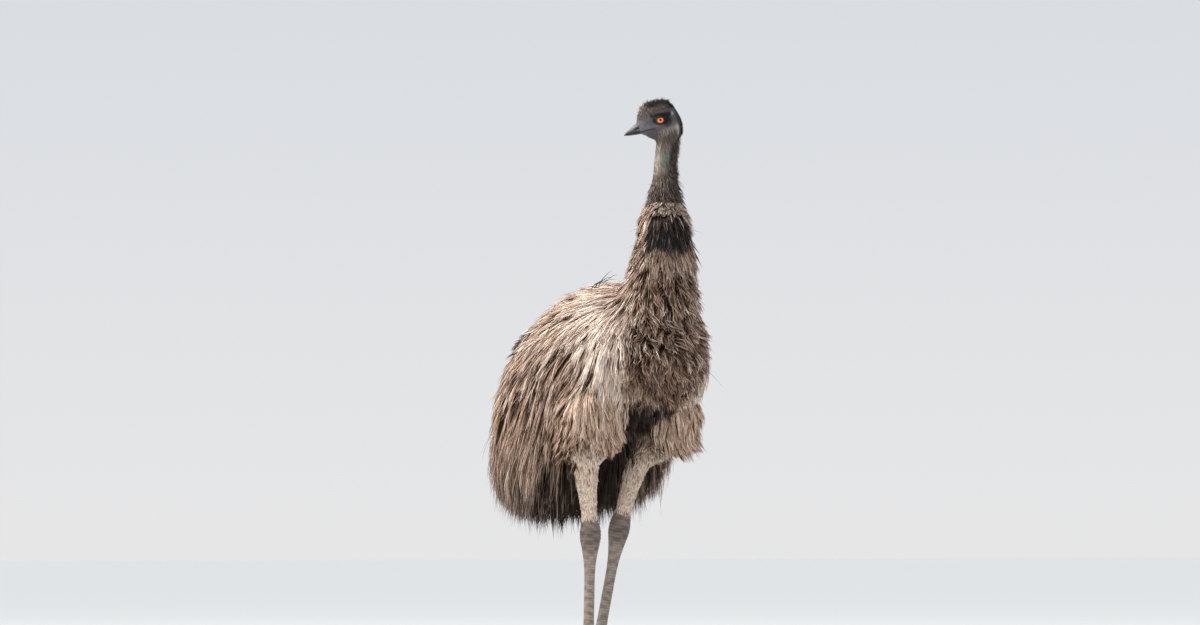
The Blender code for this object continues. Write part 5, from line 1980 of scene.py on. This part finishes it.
widths = RNG.uniform(0.0007, 0.0013, count) * (1 + 0.35 * stray)
bristles("bristles_crown", roots, maps, direction, lengths, widths, middle, tip, RNG, curve=0.10,
         spread=0.28)

# %% [markdown]
# ## Leg feathers
# The thighs are wrapped in loose cream feathers that end in a fringe of pointed locks. Below the
# fringe the shank has short, close, pale feathers with a brown fleck here and there, down to the
# bare hock.

# %% Thigh locks and shank feathers
def line_at(line, z):
    """x and y of a falling line at heights."""
    return np.stack([np.interp(-z, -line[:, 2], line[:, i]) for i in (0, 1)], axis=-1)


THIGH_GUIDES, THIGH_STRANDS, SHANK_STRANDS = 460, 6000, 4300
THIGH_ROWS = (20, KNEE - 1)
FIRST_SHANK_ROW = {"R": 82, "L": 62}  # the left thigh's inner side is seen from higher up
FRINGE_POINT = 96  # the leg line's point at the height of the thigh's fringe
SHORTEST_THIGH = 0.28  # as on the body, a lock cut off nearer its root is left out
SIDEWAYS = np.array([math.cos(VIEW_AZIMUTH), math.sin(VIEW_AZIMUTH), 0.0])


def bare_inside(side, P, line):
    """1 on the inner side of a thigh, which wears only short feathers, painted dark there as shade.
    """
    if side == "R":
        shift = 0.05 * ramp(P[..., 1] - line[FRINGE_POINT, 1], -0.05, 0.03)
        return fall(-P[..., 0] - 0.080 - shift, -0.015, 0.025)
    off = (P[..., :2] - line_at(line[:KNEE], P[..., 2])) @ SIDEWAYS[:2]
    return fall(off - 0.009 + 0.386 * (P[..., 2] - 0.675), -0.012, 0.012)


def thigh_coat(side):
    """Locks round one thigh, straight down and flared at the fringe's ragged edge."""
    rings, line, _ = LEG_SKINS[side]

    def outline(P):
        return ball_field(P, THIGH_BALLS[side])

    def outer_side(P):
        return 0.3 + ramp(P[..., 0] * SIDES[side], 0.06, 0.16)

    def thigh_lie(P, share):
        away = level_away(P, line_at(line, P[:, 2]))
        flare = 0.05 + 0.55 * share * ramp(-P[:, 2:3], -0.74, -0.67)
        spiral = 0.25 * waves(P, 0.05, 91)[:, None] * np.cross(away, SKYWARD)
        return unit(-SKYWARD + away * flare + spiral)

    guide_roots, _ = scatter(rings, outer_side, THIGH_GUIDES, RNG, *THIGH_ROWS)
    lengths = RNG.uniform(0.080, 0.130, THIGH_GUIDES)
    lengths = lengths * (1 - 0.45 * ramp(-guide_roots[:, 2], -0.72, -0.64))
    guide_inner = bare_inside(side, guide_roots, line)
    lengths = lengths * (1 - 0.55 * guide_inner)
    guides = grow(guide_roots, lengths, thigh_lie, outline, RNG, rise=1.6, spare=0.003,
                  free=lambda P, out: ramp(-P[:, 2], -0.735, -0.700))
    guides = gathered(guides, 6, RNG.uniform(0.35, 0.85, THIGH_GUIDES))
    # no lock hangs far below the fringe's ragged edge
    behind = ramp(guide_roots[:, 1] - line[FRINGE_POINT, 1], 0.0, 0.05)
    edge = 0.650 + 0.034 * waves(guide_roots, 0.022, 93)
    edge = edge + RNG.uniform(-0.016, 0.014, THIGH_GUIDES) - 0.05 * behind
    edge = edge + 0.030 * guide_inner
    room = inside_share(guides, lambda P: -P[:, 2], -edge)
    roots, maps = scatter(rings, outer_side, THIGH_STRANDS, RNG, *THIGH_ROWS)
    which = nearest(roots, guide_roots)
    share = np.clip(RNG.normal(0.92, 0.10, THIGH_STRANDS), 0.5, 1.0)
    share = np.minimum(share, room[which])
    rear = behind[which]
    # painted shade: the rear of the thigh, under the drape, is darker and has more dark strands
    patchy = 0.54 + 0.34 * waves(guide_roots[which], 0.04, 92)
    patchy = patchy + 0.26 * RNG.normal(size=THIGH_STRANDS) - 0.35 * rear
    if side == "R":
        # painted shade: behind, under the drape's edge, the right thigh's feathers are darkened
        off = roots[:, :2] - line_at(line[:KNEE], roots[:, 2])
        hidden = fall(off[:, 0] * SIDEWAYS[0] + off[:, 1] * SIDEWAYS[1], -0.062, -0.035)
        rear = np.maximum(rear, hidden)
    deep = RNG.uniform(size=THIGH_STRANDS) < 0.36 + 0.40 * rear
    pale = mix("#a3846d", "#edd6c3", np.clip(patchy, 0, 1))
    middle = mix(pale, mix(UMBER, BROWN, RNG.uniform(size=THIGH_STRANDS)), deep)
    # painted shade: the inner side darkens to near black, most high up by the belly
    inner = bare_inside(side, roots, line) * (0.25 + 0.75 * ramp(roots[:, 2], 0.66, 0.71))
    middle = mix(middle, SOOT, 0.90 * inner)
    tip = mix(middle, BROWN, 0.5 * (RNG.uniform(size=THIGH_STRANDS) < 0.3))
    # painted shade: each lock darkens towards its root
    colours = tones(mix(middle, SOOT, 0.40), middle, tip, reach=0.4, rings=3)
    loose = RNG.uniform(0, 1, THIGH_GUIDES) ** 2 * 0.020
    width = RNG.uniform(0.0028, 0.0052, THIGH_STRANDS)
    tightness = RNG.uniform(0.5, 0.92, THIGH_GUIDES)[which]
    strands(f"coat_thigh_{side}", FEATHER, "plumage", roots, maps, guides, which, width, share,
            colours, RNG, (f"thigh_{side}",), clump=tightness, sink=np.where(deep, 0.008, 0.0),
            lift=loose[which], curl=0.003, outward=level_away(roots, line_at(line, roots[:, 2])),
            only=share > SHORTEST_THIGH)


def shank_coat(side):
    """Short, close feathers along one shank, pale with brown flecks, down to the bare hock."""
    rings, line, below = LEG_SKINS[side]
    last_row = int(np.searchsorted(below[:, 0], -BARE_ABOVE_HOCK + 0.002))
    roots, maps = scatter(rings, evenly, SHANK_STRANDS, RNG, FIRST_SHANK_ROW[side], last_row)
    away = level_away(roots, line_at(line, roots[:, 2]))
    direction = unit(line[HOCK - 3] - line[KNEE - 1]) + away * 0.10
    low = ramp(-roots[:, 2], -0.60, -0.50)
    lengths = RNG.uniform(0.012, 0.020, SHANK_STRANDS) * (1 - 0.35 * low)
    spots = ramp(waves(roots, 0.0085, 94), 0.30, 0.50)
    fleck = spots * (0.45 + 0.55 * (1 - low)) * (RNG.uniform(size=SHANK_STRANDS) < 0.8)
    shade = ramp(roots[:, 2], 0.60, 0.68) * 0.75
    pale = mix(varied("#ecdccd", "#c9b5a4", SHANK_STRANDS, RNG), BROWN, shade)
    middle, tip = mix(pale, UMBER, fleck * 0.80), mix(pale, UMBER, fleck * 0.90)
    widths = RNG.uniform(0.0022, 0.0036, SHANK_STRANDS)
    bristles(f"coat_shank_{side}", roots, maps, direction, lengths, widths, middle, tip, RNG,
             outward=away, curve=0.0, slot="plumage", material=FEATHER, thickness=0.28,
             spread=0.09, root_shade=0.12)


for side in SIDES:
    thigh_coat(side)
    shank_coat(side)

# %% [markdown]
# ## Stray shafts
# A few old feathers have lost their barbs. What is left is a dark curling wire that stands out of
# the outline, most of all on the back and at the edge of the neck. On the rump one matted tuft of
# old dark feathers stands off the coat.

# %% Strays
def stray_weight(P):
    """Most on the back and at the pale collar, some on the rump and down the neck."""
    _, y, z = axes(P)
    back = ramp(z, 1.02, 1.08) * ramp(y, -0.16, -0.10)
    rump = ramp(y, 0.20, 0.32) * ramp(z, 0.72, 0.80) * 0.25
    neck = ramp(z, 1.24, 1.30) * 0.8 + 1.2 * ramp(z, 1.40, 1.43)
    return back + rump + neck + 0.01


def near(middle, size):
    """A weight for scatter that falls off round a place."""
    return lambda P: bell(np.linalg.norm(P - middle, axis=-1), 0, size) + 1e-9


STRAYS = 150
roots, maps = scatter(skin_rings, stray_weight, STRAYS, RNG, 0, row_at(1.465))
direction = slope(plumage_field, roots) * 0.8 + np.array([0, 0.4, 0.1])
direction = direction + RNG.normal(size=(STRAYS, 3)) * 0.25
reach = RNG.uniform(0.012, 0.050, STRAYS) * (1 - 0.6 * ramp(roots[:, 1], 0.15, 0.28))
lengths = reach - plumage_field(roots)
dark = varied("#1c1715", "#57483e", STRAYS, RNG, 2)
widths = RNG.uniform(0.0009, 0.0014, STRAYS)
bristles("stray_shafts", roots, maps, direction, lengths, widths, dark, dark, RNG, curve=0.5)

# A few long curls stand over the shoulders, and dark pointed locks at the left edge of the cape.
# In order: middle of the roots, how far round it, how many, share of the outward way, fixed way
# added to it, least and greatest length, width, droop.
LONG_SHAFTS = {
    "curl": ((-0.045, 0.020, 1.150), 0.035, 6, 0.0, (0.30, -0.50, 0.95), 0.14, 0.19, 0.0024, 0.45),
    "cape": ((0.062, -0.335, 1.315), 0.030, 16, 0.75, (0, 0, -0.9), 0.06, 0.10, 0.0040, 0.25),
    "neck": ((-0.032, -0.312, 1.450), 0.012, 4, 0.0, (-0.8, 0.55, 0.15), 0.03, 0.042, 0.0022, 0.25),
}
for name, (middle, size, count, outwards, way, least, most, width, droop) in LONG_SHAFTS.items():
    roots, maps = scatter(skin_rings, near(np.array(middle), size), count, RNG, 0, row_at(1.40))
    direction = slope(plumage_field, roots) * outwards + np.array(way)
    lengths = RNG.uniform(least, most, count)
    dark = varied("#171213", "#3f3430", count, RNG, 2)
    widths = RNG.uniform(0.8, 1.2, count) * width
    bristles(f"long_{name}_shafts", roots, maps, direction, lengths, widths, dark, dark, RNG,
             curve=droop, wobble=0.003, spread=0.10)

# The tuft is rooted under a spot on the right of the rump, about 40 mm across.
TUFT_MIDDLE, TUFT_SIZE, TUFT_STRANDS = np.array([-0.100, 0.235, 1.020]), 0.024, 170
roots, maps = scatter(skin_rings, near(TUFT_MIDDLE, TUFT_SIZE), TUFT_STRANDS, RNG, 0, BODY_ROWS)
direction = slope(plumage_field, roots) * 0.7 + np.array([-0.20, 0.35, -0.45])
lengths = RNG.uniform(0.006, 0.022, TUFT_STRANDS) - plumage_field(roots) * 1.3
dark = varied("#231811", "#7b6353", TUFT_STRANDS, RNG, 1.3)
widths = RNG.uniform(0.0034, 0.0056, TUFT_STRANDS)
bristles("matted_tuft", roots, maps, direction, lengths, widths, dark, dark, RNG, curve=0.30,
         material=FEATHER, wobble=0.0012, spread=0.10)

# %% [markdown]
# ## Floor and light
# The bird stands on a plain pale floor under a pale sky-like studio. A large soft light comes from
# high on the bird's right and a little behind it, so the back and the right flank are bright and
# the breast is in open shade, and a faint one fills the front.

# %% Floor
FLOOR_REACH = 60.0
finish = bpy.data.materials.new("matt_floor_paint")
finish.use_nodes = True
shader = finish.node_tree.nodes["Principled BSDF"]
shader.inputs["Base Color"].default_value = (*linear("#f1f1ef"), 1)
shader.inputs["Roughness"].default_value = 0.85
floor_mesh = bpy.data.meshes.new("floor")
corners = [(x * FLOOR_REACH, y * FLOOR_REACH, 0) for x, y in ((-1, -1), (1, -1), (1, 1), (-1, 1))]
floor_mesh.from_pydata(corners, [], [(0, 1, 2, 3)])
floor_mesh.materials.append(finish)
floor = bpy.data.objects.new("floor", floor_mesh)
bpy.context.collection.objects.link(floor)
floor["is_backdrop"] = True

# %% Light
world = bpy.data.worlds.new("pale_studio")
bpy.context.scene.world = world
world.use_nodes = True
sky = world.node_tree.nodes["Background"]
place = add(world.node_tree, "ShaderNodeTexCoord").outputs["Generated"]
height = add(world.node_tree, "ShaderNodeSeparateXYZ", {"Vector": place}).outputs["Z"]
sky_tones = add(world.node_tree, "ShaderNodeValToRGB", {"Fac": height})
stops = sky_tones.color_ramp.elements
stops[1].position = 0.075
stops.new(0.30)
for stop, code in zip(stops, ("#e6e6e7", "#d3d8df", "#eef1f5")):
    stop.color = (*linear(code), 1)
world.node_tree.links.new(sky_tones.outputs["Color"], sky.inputs["Color"])
sky.inputs["Strength"].default_value = 1.0
LIT_HEIGHT = 0.9  # the bird's middle


def soft_light(name, azimuth, elevation, distance, size, watts, code):
    """A square area light that looks at the bird's middle from a direction."""
    lamp = bpy.data.lights.new(name, "AREA")
    lamp.size, lamp.energy, lamp.color = size, watts, linear(code)
    holder = bpy.data.objects.new(name, lamp)
    bpy.context.collection.objects.link(holder)
    rise = math.radians(elevation)
    direction = level_way(math.radians(azimuth)) * math.cos(rise) + SKYWARD * math.sin(rise)
    holder.location = Vector(direction * distance) + Vector((0, 0, LIT_HEIGHT))
    holder.rotation_euler = (-Vector(direction)).to_track_quat("-Z", "Y").to_euler()


soft_light("key", azimuth=-118, elevation=46, distance=6.0, size=1.8, watts=620, code="#fff8f0")
soft_light("fill", azimuth=20, elevation=25, distance=7.0, size=4.0, watts=60, code="#eef3ff")
bpy.context.scene.view_settings.view_transform = "Standard"

# %% [markdown]
# ## Size, and the end
# Both boxes are worked out, the solids' and the visual model's, and the last line gives them in
# metres.

# %% Work out the boxes
boxes = {"cad": CAD_BOX, "visual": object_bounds()}
{k: [[float(v) for v in corner] for corner in box] for k, box in boxes.items()}
